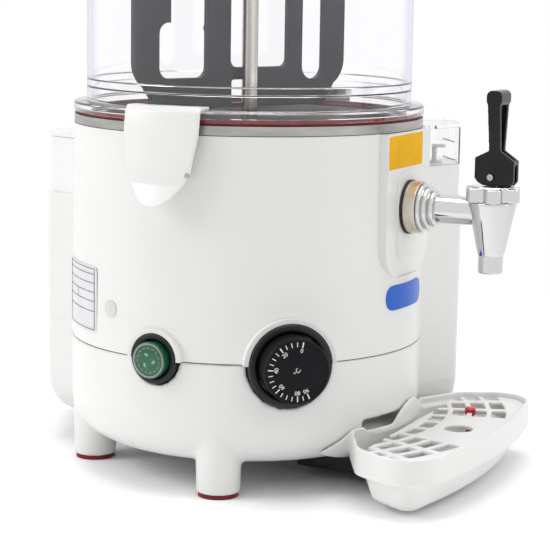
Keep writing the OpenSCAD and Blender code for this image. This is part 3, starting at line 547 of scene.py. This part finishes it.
def copy_of(node):
    """A free copy of a CAD node's mesh with its loose triangles joined."""
    source = frame["nodes"][node]
    take(source)
    bpy.ops.object.duplicate()
    piece = bpy.context.object
    bpy.ops.object.parent_clear(type="CLEAR_KEEP_TRANSFORM")
    for key in [key for key in piece.keys() if key.startswith("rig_")]:
        del piece[key]
    bpy.ops.object.mode_set(mode="EDIT")
    bpy.ops.mesh.select_all(action="SELECT")
    bpy.ops.mesh.remove_doubles(threshold=0.002 * MM)
    bpy.ops.mesh.dissolve_limited(angle_limit=math.radians(0.4))
    bpy.ops.object.mode_set(mode="OBJECT")
    return piece


def clean(piece):
    """Joins doubled points and turns the faces outwards."""
    take(piece)
    bpy.ops.object.mode_set(mode="EDIT")
    bpy.ops.mesh.select_all(action="SELECT")
    bpy.ops.mesh.remove_doubles(threshold=0.0005 * MM)
    bpy.ops.mesh.normals_make_consistent(inside=False)
    bpy.ops.object.mode_set(mode="OBJECT")


def smooth(piece, angle=30):
    """Smooth shading in which the large faces keep their own direction."""
    take(piece)
    bpy.ops.object.shade_smooth_by_angle(angle=math.radians(angle))
    apply_modifier(piece, "WEIGHTED_NORMAL", weight=100, keep_sharp=True)
    return piece


def bake_place(piece, matrix=None):
    """Moves a piece by a matrix and bakes its place into its mesh."""
    if matrix is not None:
        piece.matrix_basis = matrix @ piece.matrix_basis
    take(piece)
    bpy.ops.object.transform_apply(location=True, rotation=True, scale=True)
    return piece


def cap(piece):
    """Closes an open end with a face, where there is one."""
    keys = [key for face in piece.data.polygons for key in face.edge_keys]
    if len(keys) == 2 * len(set(keys)):
        return
    take(piece)
    bpy.ops.object.mode_set(mode="EDIT")
    bpy.ops.mesh.select_mode(type="EDGE")
    bpy.ops.mesh.select_all(action="DESELECT")
    bpy.ops.mesh.select_non_manifold(use_wire=False, use_multi_face=False, use_non_contiguous=False,
                                     use_verts=False)
    bpy.ops.mesh.edge_face_add()
    bpy.ops.mesh.select_all(action="SELECT")
    bpy.ops.mesh.normals_make_consistent(inside=False)
    bpy.ops.object.mode_set(mode="OBJECT")


def turned(profile, steps=96, edge=0.0, segments=2, smooth_angle=30):
    """A turned piece round Z: a circle is extruded from one (radius, height) of the profile to the next."""
    radius, height = profile[0]
    bpy.ops.object.select_all(action="DESELECT")
    bpy.ops.mesh.primitive_circle_add(vertices=steps, radius=radius * MM, location=(0, 0, height * MM))
    piece = bpy.context.object
    bake_place(piece)
    bpy.ops.object.mode_set(mode="EDIT")
    bpy.ops.mesh.select_all(action="SELECT")
    for (r0, z0), (r1, z1) in zip(profile, profile[1:]):
        bpy.ops.mesh.extrude_edges_move(TRANSFORM_OT_translate={"value": (0, 0, (z1 - z0) * MM)})
        if r1:
            bpy.ops.transform.resize(value=(r1 / r0, r1 / r0, 1), center_override=(0, 0, z1 * MM))
        else:
            bpy.ops.mesh.merge(type="CENTER")
    bpy.ops.object.mode_set(mode="OBJECT")
    clean(piece)
    cap(piece)
    if edge:
        apply_modifier(piece, "BEVEL", width=edge * MM, segments=segments, limit_method="ANGLE",
                       angle_limit=math.radians(28), use_clamp_overlap=True)
    return smooth(piece, smooth_angle)


def outwards(angle, height):
    """Place of a piece turned round Z, laid so that Z points out of the body at an angle."""
    a = math.radians(angle)
    return Matrix(((math.cos(a), 0, math.sin(a), 0), (math.sin(a), 0, -math.cos(a), 0),
                   (0, 1, 0, height * MM), (0, 0, 0, 1)))


def upright(distance, angle):
    """Place of an upright piece beside the body, at a distance from its axis and an angle."""
    a = math.radians(angle)
    return Matrix.Translation((distance * math.sin(a) * MM, -distance * math.cos(a) * MM, 0))


def shift(x, y, z):
    return Matrix.Translation((x * MM, y * MM, z * MM))


def roll(angle, axis="Z"):
    return Matrix.Rotation(math.radians(angle), 4, axis)


def moulded(node, name, finish_name, grain, rounds):
    """A copy of a CAD node whose edges are rounded by a fine remesh and smoothing, which stands for it."""
    piece = copy_of(node)
    apply_modifier(piece, "REMESH", mode="VOXEL", voxel_size=grain * MM)
    apply_modifier(piece, "SMOOTH", factor=0.5, iterations=rounds)
    take(piece)
    bpy.ops.object.shade_smooth()
    return settle(piece, name, finish_name, node)


def plate(outline, depth, edge, resolution=2):
    """A flat plate with rounded edges from a closed outline in millimetres, resting on the ground plane."""
    curve = bpy.data.curves.new("outline", "CURVE")
    curve.dimensions = "2D"
    curve.fill_mode = "BOTH"
    curve.extrude = (depth / 2 - edge) * MM
    curve.bevel_depth = edge * MM
    curve.bevel_resolution = resolution
    curve.offset = -edge * MM
    spline = curve.splines.new("POLY")
    spline.points.add(len(outline) - 1)
    for point, (x, y) in zip(spline.points, outline):
        point.co = (x * MM, y * MM, 0, 1)
    spline.use_cyclic_u = True
    piece = bpy.data.objects.new("outline", curve)
    bpy.context.scene.collection.objects.link(piece)
    take(piece)
    bpy.ops.object.convert(target="MESH")
    piece = bpy.context.object
    bake_place(piece, shift(0, 0, depth / 2))
    clean(piece)
    return smooth(piece)


def rounded(half_x, low_y, high_y, corner, steps=6):
    """Outline of a rectangle with round corners."""
    points = []
    for x, y, start in ((half_x - corner, high_y - corner, 0), (corner - half_x, high_y - corner, 90),
                        (corner - half_x, low_y + corner, 180), (half_x - corner, low_y + corner, 270)):
        for k in range(steps + 1):
            a = math.radians(start + 90 * k / steps)
            points.append((x + corner * math.cos(a), y + corner * math.sin(a)))
    return points


def curved_plate(radius, thickness, low_z, high_z, start, end, corner=0.0, step=3.0):
    """A thin plate that follows the round body: a small upright face is spun from one angle to the other."""
    spot = (radius + thickness / 2) * MM
    bpy.ops.object.select_all(action="DESELECT")
    bpy.ops.mesh.primitive_plane_add(size=1, rotation=(math.pi / 2, 0, 0))
    piece = bpy.context.object
    piece.scale = (thickness * MM, (high_z - low_z) * MM, 1)
    piece.location = (spot, 0, (low_z + high_z) / 2 * MM)
    bake_place(piece, roll(end - 90))
    bpy.ops.object.mode_set(mode="EDIT")
    bpy.ops.mesh.select_all(action="SELECT")
    steps = max(2, round((end - start) / step))
    bpy.ops.mesh.spin(steps=steps, angle=math.radians(end - start), center=(0, 0, 0), axis=(0, 0, 1))
    bpy.ops.object.mode_set(mode="OBJECT")
    clean(piece)
    if corner:
        bpy.ops.object.mode_set(mode="EDIT")
        bpy.ops.mesh.select_mode(type="EDGE")
        bpy.ops.mesh.select_all(action="DESELECT")
        bpy.ops.object.mode_set(mode="OBJECT")
        ends = [math.radians(start - 90), math.radians(end - 90)]
        for edge in piece.data.edges:
            p, q = (piece.data.vertices[k].co for k in edge.vertices)
            at_end = any(abs(math.atan2(p.y, p.x) - e) < 0.001 for e in ends)
            edge.select = at_end and abs(p.z - q.z) < 1e-7 and abs(p.xy.length - q.xy.length) > 1e-6
        bpy.ops.object.mode_set(mode="EDIT")
        bpy.ops.mesh.bevel(offset=corner * MM, segments=4, affect="EDGES")
        bpy.ops.object.mode_set(mode="OBJECT")
    return smooth(piece, 20)


def joined(pieces):
    """Several pieces made one mesh."""
    take(*pieces)
    if len(pieces) > 1:
        bpy.ops.object.join()
    return bpy.context.object


def copies(piece, matrices):
    """The piece once at each place, all joined; each copy has its own mesh."""
    made = []
    for matrix in matrices:
        take(piece)
        bpy.ops.object.duplicate()
        made.append(bake_place(bpy.context.object, matrix))
    bpy.data.objects.remove(piece)
    return joined(made)


def bar(length, width, height, edge):
    """A small bar along Y on the ground plane with rounded edges."""
    bpy.ops.object.select_all(action="DESELECT")
    bpy.ops.mesh.primitive_cube_add(size=1, location=(0, 0, height / 2 * MM))
    piece = bpy.context.object
    piece.scale = (width * MM, length * MM, height * MM)
    bake_place(piece)
    apply_modifier(piece, "BEVEL", width=edge * MM, segments=2, limit_method="ANGLE")
    return smooth(piece)


def letters(body, size, height):
    """Raised characters on the ground plane, centred on the origin."""
    bpy.ops.object.select_all(action="DESELECT")
    bpy.ops.object.text_add()
    piece = bpy.context.object
    piece.data.body = body
    piece.data.size = size * MM
    piece.data.extrude = height / 2 * MM
    piece.data.offset = 0.004 * size * MM
    piece.data.align_x = "CENTER"
    piece.data.align_y = "CENTER"
    bpy.ops.object.convert(target="MESH")
    piece = bake_place(bpy.context.object, shift(0, 0, height / 2))
    clean(piece)
    return piece


# ---------- operators ----------

class DISPENSER_OT_inner_parts(bpy.types.Operator):
    """Coats the pieces inside the machine"""
    bl_idname = "dispenser.inner_parts"
    bl_label = "Inner parts"

    def execute(self, context):
        coat_nodes("zinc_sheet", "base_plate", "water_jacket", "motor_bracket", "thermostat")
        coat_nodes("turned_steel", "base_screws", "panel_screws", "drive_coupling", "heating_element")
        coat_nodes("cast_metal", "gear_motor")
        coat_nodes("red_rubber", "shaft_seal")
        coat_nodes("black_plastic", "switch_body")
        coat_nodes("ivory_plastic", "terminal_block", "tap_plug")
        return {"FINISHED"}


class DISPENSER_OT_shells(bpy.types.Operator):
    """Finishes the round body, its legs and its foot pads"""
    bl_idname = "dispenser.shells"
    bl_label = "Shells"

    def execute(self, context):
        coat_nodes("white_shell", "upper_shell")
        coat_nodes("red_rubber", "foot_pads")
        moulded("lower_shell", "round_base", "white_shell", grain=1.65, rounds=7)
        # painted shade: thin dark rings at the seam and under the steel band stand in for the shade in their
        # narrow gaps
        for name, outer, height in (("seam_painted_shade", BODY_R + 0.05, SEAM_Z), ("band_painted_shade", BAND_R + 0.1, RIM_Z)):
            inner, low_z, high_z = outer - 1.2, height - 0.25, height + 0.25
            shade_ring = turned([(inner, low_z), (outer, low_z), (outer, high_z), (inner, high_z), (inner, low_z)],
                         steps=160)
            settle(shade_ring, name, "seam_shade", "upper_shell", replaces=False)
        pad = plate(rounded(half_x=21, low_y=163, high_y=225, corner=11), depth=1.0, edge=0.45)
        bake_place(pad, outwards(SERVE_A, 0) @ shift(0, 0, FIELD_OUT - 0.3))
        settle(pad, "tap_field", "white_shell", "upper_shell", replaces=False)
        return {"FINISHED"}


class DISPENSER_OT_rear(bpy.types.Operator):
    """Finishes the rear housing, the filler box and the level box"""
    bl_idname = "dispenser.rear"
    bl_label = "Rear housing"

    def execute(self, context):
        coat_nodes("white_shell", "rear_lower_cover", "rear_upper_cover", "rear_panel", "level_float")
        coat_nodes("milky_plastic", "filler_box", "filler_cap")
        coat_nodes("smoky_clear", "level_box", "level_lid")
        coat_nodes("black_plastic", "cable_gland")
        upper_mark = (Vector((146.6, 24.5, 242.4)), Vector((156.6, 34.1, 239.0)))
        lower_mark = (Vector((147.0, 24.9, 229.0)), Vector((157.0, 34.5, 225.2)))
        marks = [self.mark(*ends) for ends in (upper_mark, lower_mark)]
        settle(joined(marks), "level_marks", "grey_print", "level_box", replaces=False)
        return {"FINISHED"}

    def mark(self, left, right):
        """A printed line between two places on the level box's front"""
        run = right - left
        side = run.cross(Vector((1, -1, 0))).normalized()
        turn = Matrix((side, run.normalized(), side.cross(run).normalized())).transposed().to_4x4()
        line = bar(run.length, width=0.7, height=0.3, edge=0.1)
        return bake_place(line, shift(*(left + right) / 2) @ turn)


class DISPENSER_OT_bowl(bpy.types.Operator):
    """Finishes the basin, the bowl and its lid"""
    bl_idname = "dispenser.bowl"
    bl_label = "Bowl"

    def execute(self, context):
        coat_nodes("basin_steel", "steel_basin")
        coat_nodes("clear_plastic", "lid")
        foot, high = low("bowl"), top("bowl")
        inner, outer, flange = 117, 120, 129.5
        wall = [(flange, foot + 0.8), (flange, foot + 6.2), (flange - 1.2, foot + 7.4),
                (outer + 2.4, foot + 7.4), (outer + 0.6, foot + 8.2), (outer, foot + 10),
                (outer, high - 5), (outer + 3, high - 5), (outer + 3, high), (inner, high),
                (inner, foot + 24), (inner - 2.5, foot + 23.2), (inner - 2.5, foot + 18.6),
                (inner, foot + 17.6), (inner, foot), (inner + 1.6, foot), (inner + 1.6, foot + 2.9),
                (flange - 1.6, foot + 2.9), (flange - 1.6, foot), (flange - 0.8, foot),
                (flange, foot + 0.8)]
        settle(turned(wall, steps=180, edge=0.35), "clear_bowl", "clear_plastic", "bowl")
        ring = [(118.7, foot + 2.8), (127.8, foot + 2.8), (127.8, foot), (127.4, foot - 1.55),
                (117.6, foot - 1.55), (118.7, foot), (118.7, foot + 2.8)]
        settle(turned(ring, steps=180, edge=0.3), "bowl_seal", "red_rubber", "bowl_gasket")
        base = low("lid_knob")
        knob = [(9.8, base), (9.8, base + 3.5), (11, base + 5.5), (17.5, base + 9), (19, base + 11),
                (19, base + 13.2), (17.8, base + 15), (13, base + 17.8), (6, base + 18.8), (0, base + 19)]
        settle(turned(knob, edge=0.3), "lid_grip", "black_plastic", "lid_knob")
        return {"FINISHED"}


class DISPENSER_OT_stirrer(bpy.types.Operator):
    """Finishes the shaft, the paddle and the scraper"""
    bl_idname = "dispenser.stirrer"
    bl_label = "Stirrer"

    def execute(self, context):
        coat_nodes("drawn_steel_and_painted_reflections", "stirrer_shaft")
        coat_nodes("charcoal_plastic", "stirrer_paddle", "basin_scraper")
        return {"FINISHED"}


class DISPENSER_OT_latches(bpy.types.Operator):
    """Finishes the latches, their brackets and their pins"""
    bl_idname = "dispenser.latches"
    bl_label = "Latches"

    def execute(self, context):
        coat_nodes("white_shell", "latch_brackets")
        coat_nodes("turned_steel", "latch_pins")
        moulded("front_latch", "front_catch", "white_shell", grain=0.6, rounds=12)
        moulded("rear_latch", "rear_catch", "white_shell", grain=0.6, rounds=12)
        # the dark screw low on the front latch, square to the latch's curved face
        angle, height, distance, tilt = -16.2, 228, 140.7, 20.05
        screw = turned([(2.1, 0), (2.1, 0.9), (1.7, 1.25), (0.9, 1.45), (0, 1.5)], steps=40, edge=0.08)
        bake_place(screw, outwards(angle, height) @ shift(0, 0, distance) @ roll(tilt, "Y"))
        settle(screw, "latch_screw", "turned_steel", "front_latch", replaces=False)
        return {"FINISHED"}


class DISPENSER_OT_controls(bpy.types.Operator):
    """Finishes the dial and the button"""
    bl_idname = "dispenser.controls"
    bl_label = "Dial and button"

    def execute(self, context):
        coat_nodes("green_lens", "button_lens")
        self.dial(context.scene.dispenser_sizes)
        self.button()
        return {"FINISHED"}

    def dial(self, sizes):
        """The ring, the knob with its scale, and the pointer"""
        face, rim = reach("dial_knob", DIAL_A), reach("dial_bezel", DIAL_A)
        back = rim - 12
        place = outwards(DIAL_A, DIAL_Z)
        ring = turned([(23.6, back), (29.7, back), (29.7, rim - 1.2), (28.6, rim), (25.6, rim),
                       (24.2, rim - 0.9), (23.6, rim - 2.2), (23.6, back)], steps=120, edge=0.25)
        settle(bake_place(ring, place), "dial_ring", "black_plastic", "dial_bezel")
        knob = turned([(22.9, rim - 5), (22.9, face - 0.9), (22.2, face), (20.1, face), (19.9, face - 0.3),
                       (0, face - 0.3)], steps=120, edge=0.2)
        settle(bake_place(knob, place), "dial_grip", "dial_black", "dial_knob")
        scale = joined(self.scale(sizes, face, place))
        settle(scale, "dial_scale", "white_print", "dial_knob", replaces=False)
        nub = plate([(-1.1, 0), (1.1, 0), (0.35, 2.6), (-0.35, 2.6)], depth=0.9, edge=0.2)
        nub = bake_place(nub, place @ shift(0, 26, rim - 0.2))
        settle(nub, "dial_pointer", "black_plastic", "dial_bezel", replaces=False)

    def scale(self, sizes, face, place):
        """The dial's marks, its numbers and its unit"""
        marks, step, start, unit_turn = 19, 12, -11, 57
        numbers = {0: "0", 4: "20", 8: "40", 12: "60", 16: "80", 18: "90"}
        length, digit = sizes.tick / MM, sizes.digit / MM
        mark_r = 20.5 - length / 2
        digit_r = mark_r - length / 2 - 2.6
        tick = bar(length, width=0.62, height=0.25, edge=0.1)
        long_tick = bar(length + 0.7, width=0.85, height=0.25, edge=0.1)
        spots = [place @ roll(step * k + start) @ shift(0, mark_r, face - 0.12) for k in range(marks)]
        scale = [copies(tick, [spots[k] for k in range(marks) if k not in numbers]),
                 copies(long_tick, [spots[k] for k in numbers])]
        for k, number in numbers.items():
            turn = roll(step * k + start) @ shift(0, digit_r, face - 0.4)
            scale.append(bake_place(letters(number, digit, height=0.2), place @ turn))
        unit = letters("°C", digit * 1.15, height=0.2)
        scale.append(bake_place(unit, place @ roll(unit_turn) @ shift(0, 0, face - 0.4)))
        return scale

    def button(self):
        """The ring, the lens with its rim, and the small marks on the lens"""
        face, rim = reach("button_lens", BUTTON_A), reach("button_bezel", BUTTON_A)
        place = outwards(BUTTON_A, SEAM_Z + 0.5)
        ring = turned([(13.5, rim - 12), (17.9, rim - 12), (17.9, rim - 1), (16.9, rim), (14.6, rim),
                       (13.5, rim - 1.2), (13.5, rim - 12)], edge=0.3)
        settle(bake_place(ring, place), "button_ring", "black_plastic", "button_bezel")
        lens = turned([(12.9, rim - 6), (12.9, face - 0.8), (12.1, face - 0.05), (11.2, face - 0.1),
                       (10.9, face - 0.7), (10.6, face - 0.35), (6, face - 0.05), (0, face)], edge=0.1)
        settle(bake_place(lens, place), "button_cap", "green_lens", "button_lens")
        frame_ring = turned([(10.9, face - 0.5), (11.2, face + 0.05), (11.9, face + 0.05),
                             (12.2, face - 0.35), (10.9, face - 0.5)])
        settle(bake_place(frame_ring, place), "button_frame", "lens_rim", "button_lens", replaces=False)
        dashes, blades = 15, 3
        dash = bar(0.5, width=2.0, height=0.25, edge=0.08)
        dash = copies(dash, [place @ roll(360 / dashes * k) @ shift(0, 8.7, face - 0.22)
                             for k in range(dashes)])
        blade = plate(rounded(half_x=0.95, low_y=-1.6, high_y=1.6, corner=0.9), depth=0.3, edge=0.1)
        blade = copies(blade, [place @ roll(360 / blades * k + 20) @ shift(0, 4.3, face - 0.2) @ roll(51.57)
                               for k in range(blades)])
        settle(joined([dash, blade]), "button_marks", "lens_mark", "button_lens", replaces=False)


class DISPENSER_OT_tap(bpy.types.Operator):
    """Finishes the tap and its lever"""
    bl_idname = "dispenser.tap"
    bl_label = "Tap"

    def execute(self, context):
        coat_nodes("black_rubber", "tap_gasket")
        coat_nodes("chrome", "tap_shank")
        coat_nodes("turned_steel", "tap_stem", "lever_pin")
        side = outwards(SERVE_A, (top("tap_collar") + low("tap_collar")) / 2)
        start = reach("tap_gasket", SERVE_A)
        end = start + 8.9
        inner = 10.1
        collar = turned([(inner, start), (18.3, start), (18.75, start + 0.4), (18.75, end - 0.5),
                         (18.3, end), (inner, end), (inner, start)], steps=120, edge=0.15)
        settle(bake_place(collar, side), "tap_band", "warm_steel", "tap_collar")
        # three stepped rings, each with a round crest
        profile = [(inner, end)]
        spot = end
        for radius, length in ((18, 3.6), (16, 4), (13.2, 4.4)):
            profile += [(radius - 1.6, spot + 0.05), (radius - 0.5, spot + 0.35),
                        (radius, spot + length * 0.4), (radius, spot + length * 0.6),
                        (radius - 0.5, spot + length * 0.85), (radius - 1.6, spot + length)]
            spot += length
        profile += [(inner, spot), (inner, end)]
        rings = bake_place(turned(profile, steps=120, smooth_angle=50), side)
        settle(rings, "tap_rings", "chrome", "tap_nut")
        upper, spout = top("tap_body"), low("tap_body")
        barrel = [(10, upper - 0.2), (16.4, upper - 0.2), (17, upper - 0.8), (17, upper - 2.5),
                  (14.8, upper - 12), (10.3, upper - 34), (9.15, upper - 38), (8.85, upper - 38.4),
                  (8.75, spout + 0.9), (8.2, spout), (7, spout), (6.6, spout + 0.5), (6.6, spout + 20),
                  (10, spout + 24), (10, upper - 0.2)]
        barrel = bake_place(turned(barrel, steps=120, edge=0.2), upright(SPOUT_R, SERVE_A))
        settle(barrel, "tap_barrel", "chrome", "tap_body")
        moulded("tap_crown", "tap_cap", "chrome", grain=0.45, rounds=10)
        moulded("tap_lever", "tap_handle", "lever_black", grain=0.5, rounds=7)
        return {"FINISHED"}


class DISPENSER_OT_tray(bpy.types.Operator):
    """Finishes the drip tray, its grid, its float and its bracket"""
    bl_idname = "dispenser.tray"
    bl_label = "Drip tray"

    def execute(self, context):
        moulded("drip_tray", "catch_tray", "tray_white", grain=1.04, rounds=8)
        moulded("drip_grid", "catch_grid", "tray_white", grain=0.7, rounds=6)
        coat_nodes("red_plastic", "tray_float")
        coat_nodes("black_plastic", "tray_bracket")
        return {"FINISHED"}


class DISPENSER_OT_labels(bpy.types.Operator):
    """Adds the blank stickers, the blank plate and the plain badge"""
    bl_idname = "dispenser.labels"
    bl_label = "Blank labels"

    def execute(self, context):
        film = context.scene.dispenser_sizes.film / MM
        sticker = plate(rounded(half_x=31.8, low_y=228.8, high_y=252.2, corner=0.8), film, edge=0.05)
        sticker = bake_place(sticker, outwards(SERVE_A, 0) @ shift(-6.7, 0, FIELD_OUT))
        settle(sticker, "amber_sticker", "amber_film", "upper_shell", replaces=False)
        badge = curved_plate(BODY_R - 0.55, 0.9, low_z=127.6, high_z=145.4, start=SERVE_A - 14.5,
                             end=SERVE_A + 12, corner=8.2, step=6)
        settle(badge, "plain_badge", "badge_blue", "upper_shell", replaces=False)
        self.rating_plate(film)
        disc = plate(rounded(half_x=6.4, low_y=-6.4, high_y=6.4, corner=6.399), depth=0.5, edge=0.05)
        disc = bake_place(disc, outwards(-46.4, 127.8) @ shift(0, 0, BODY_R - 0.45))
        settle(disc, "round_sticker", "pale_film", "upper_shell", replaces=False)
        return {"FINISHED"}

    def rating_plate(self, film):
        """A blank plate with a frame and rules"""
        left, right, low_z, high_z = -80, -55.2, 109.2, 153.4
        board = curved_plate(BODY_R - 0.28, film + 0.25, low_z - 2, high_z + 2, left - 1.5, right + 1.4,
                             corner=3.5, step=7)
        settle(board, "blank_plate", "plate_film", "upper_shell", replaces=False)
        out, depth = BODY_R + 0.06, 0.2
        rules = [curved_plate(out, depth, z, z + 0.4, left, right)
                 for z in (low_z, 122.6, 129.8, 136.4, 143, 149.5, high_z)]
        rules += [curved_plate(out, depth, low_z, high_z, a, a + 0.22) for a in (left, right - 0.2)]
        rules.append(curved_plate(out, depth, 129.8, 136.6, -68, -67.8))
        settle(joined(rules), "plate_rules", "grey_print", "upper_shell", replaces=False)


# ---------- stage ----------

CAMERA_PLACE = (21.06 * MM, -1376.18 * MM, 359.96 * MM)
CAMERA_PITCH = math.radians(90 - 9.10)
CAMERA_ROLL = math.radians(0.90)
CAMERA_LENS = 121.09
FLOOR_SHOWN = 1.05


def soft_lamp(name, place, target, size, power):
    bpy.ops.object.light_add(type="AREA", location=place)
    lamp = bpy.context.object
    lamp.name = name
    lamp.data.shape = "RECTANGLE"
    lamp.data.size, lamp.data.size_y = size
    lamp.data.energy = power
    lamp.rotation_euler = (Vector(target) - Vector(place)).to_track_quat("-Z", "Y").to_euler()


def background_rays(material):
    """A value of 1 for the rays that see the white background: a camera's, a mirror's and a clear part's."""
    path = add_node(material, "ShaderNodeLightPath")
    seen = add_node(material, "ShaderNodeMath", operation="MAXIMUM")
    clear = add_node(material, "ShaderNodeMath", operation="MAXIMUM")
    link(material, path.outputs["Is Camera Ray"], seen.inputs[0])
    link(material, path.outputs["Is Glossy Ray"], seen.inputs[1])
    link(material, seen.outputs[0], clear.inputs[0])
    link(material, path.outputs["Is Transmission Ray"], clear.inputs[1])
    return clear.outputs[0]


def floor_finish():
    """A pale floor with the object's shadow on it, which shows plain white further off."""
    material = bpy.data.materials.new("pale_floor")
    material.use_nodes = True
    tree = material.node_tree
    tree.nodes.remove(tree.nodes["Principled BSDF"])
    plain = add_node(material, "ShaderNodeBsdfDiffuse", Color=(0.96, 0.96, 0.96, 1))
    bright = add_node(material, "ShaderNodeBsdfDiffuse", Color=(FLOOR_SHOWN, FLOOR_SHOWN, FLOOR_SHOWN, 1))
    white = add_node(material, "ShaderNodeEmission", Strength=1.0)
    place = add_node(material, "ShaderNodeTexCoord")
    away = add_node(material, "ShaderNodeVectorMath", operation="LENGTH")
    fade = map_range(material, 0.36, 0.85, 0, 1)
    far = add_node(material, "ShaderNodeMixShader")
    both = add_node(material, "ShaderNodeMixShader")
    link(material, place.outputs["Object"], away.inputs[0])
    link(material, away.outputs["Value"], fade.inputs["Value"])
    link(material, fade.outputs["Result"], far.inputs["Fac"])
    link(material, bright.outputs[0], far.inputs[1])
    link(material, white.outputs[0], far.inputs[2])
    link(material, background_rays(material), both.inputs["Fac"])
    link(material, plain.outputs[0], both.inputs[1])
    link(material, far.outputs[0], both.inputs[2])
    link(material, both.outputs[0], tree.nodes["Material Output"].inputs["Surface"])
    return material


def white_world(strength):
    """Lights the object softly, and shows plain white behind it, in mirrors and through clear parts."""
    world = bpy.data.worlds.new("white_world")
    bpy.context.scene.world = world
    world.use_nodes = True
    back = world.node_tree.nodes["Background"]
    back.inputs["Color"].default_value = (1, 1, 1, 1)
    shown = add_node(world, "ShaderNodeMix")
    shown.inputs[2].default_value = strength
    shown.inputs[3].default_value = 1.0
    link(world, background_rays(world), shown.inputs[0])
    link(world, shown.outputs[0], back.inputs["Strength"])


class DISPENSER_OT_stage(bpy.types.Operator):
    """Adds the camera, the lamps, the floor and the white surroundings"""
    bl_idname = "dispenser.stage"
    bl_label = "Stage"

    def execute(self, context):
        bpy.ops.object.camera_add(location=CAMERA_PLACE)
        camera = context.object
        camera.name = "photo_camera"
        turn = Matrix.Rotation(CAMERA_PITCH, 4, "X") @ Matrix.Rotation(CAMERA_ROLL, 4, "Z")
        camera.rotation_euler = turn.to_euler()
        camera.data.lens = CAMERA_LENS
        camera.data.sensor_width = 36
        camera.data.clip_end = 50
        context.scene.camera = camera
        bpy.ops.mesh.primitive_plane_add(size=12, location=(0, 0, 0))
        floor = context.object
        floor.name = "floor"
        floor.data.materials.append(floor_finish())
        soft_lamp("key", place=(-2.1, -0.5, 1.3), target=(0, 0, 0.25), size=(1.2, 1.4), power=21)
        soft_lamp("fill", place=(2.2, -0.5, 1.2), target=(0, 0, 0.2), size=(1.2, 1.4), power=12)
        soft_lamp("top", place=(0, 0, 2.2), target=(0, 0, 0), size=(1.5, 1.5), power=26)
        white_world(strength=0.5)
        context.scene.view_settings.view_transform = "Standard"
        return {"FINISHED"}


class DISPENSER_PT_panel(bpy.types.Panel):
    """Lists the sizes, the colours and the steps"""
    bl_idname = "DISPENSER_PT_panel"
    bl_label = "Dispenser"
    bl_space_type = "VIEW_3D"
    bl_region_type = "UI"
    bl_category = "Dispenser"

    def draw(self, context):
        layout = self.layout
        for group in (context.scene.dispenser_sizes, context.scene.dispenser_colours):
            for name in group.__annotations__:
                layout.prop(group, name)
        for step in STEPS:
            layout.operator(step.bl_idname)


STEPS = (
    DISPENSER_OT_stage, DISPENSER_OT_inner_parts, DISPENSER_OT_shells, DISPENSER_OT_rear, DISPENSER_OT_bowl,
    DISPENSER_OT_stirrer, DISPENSER_OT_latches, DISPENSER_OT_controls, DISPENSER_OT_tap, DISPENSER_OT_tray,
    DISPENSER_OT_labels,
)
CLASSES = (DispenserSizes, DispenserColours, *STEPS, DISPENSER_PT_panel)


def register():
    for item in CLASSES:
        bpy.utils.register_class(item)
    bpy.types.Scene.dispenser_sizes = bpy.props.PointerProperty(type=DispenserSizes)
    bpy.types.Scene.dispenser_colours = bpy.props.PointerProperty(type=DispenserColours)


def unregister():
    del bpy.types.Scene.dispenser_colours
    del bpy.types.Scene.dispenser_sizes
    for item in reversed(CLASSES):
        bpy.utils.unregister_class(item)


def main():
    register()
    for step in STEPS:
        group, name = step.bl_idname.split(".")
        getattr(getattr(bpy.ops, group), name)()
    bpy.context.view_layer.update()


if __name__ == "__main__":
    main()
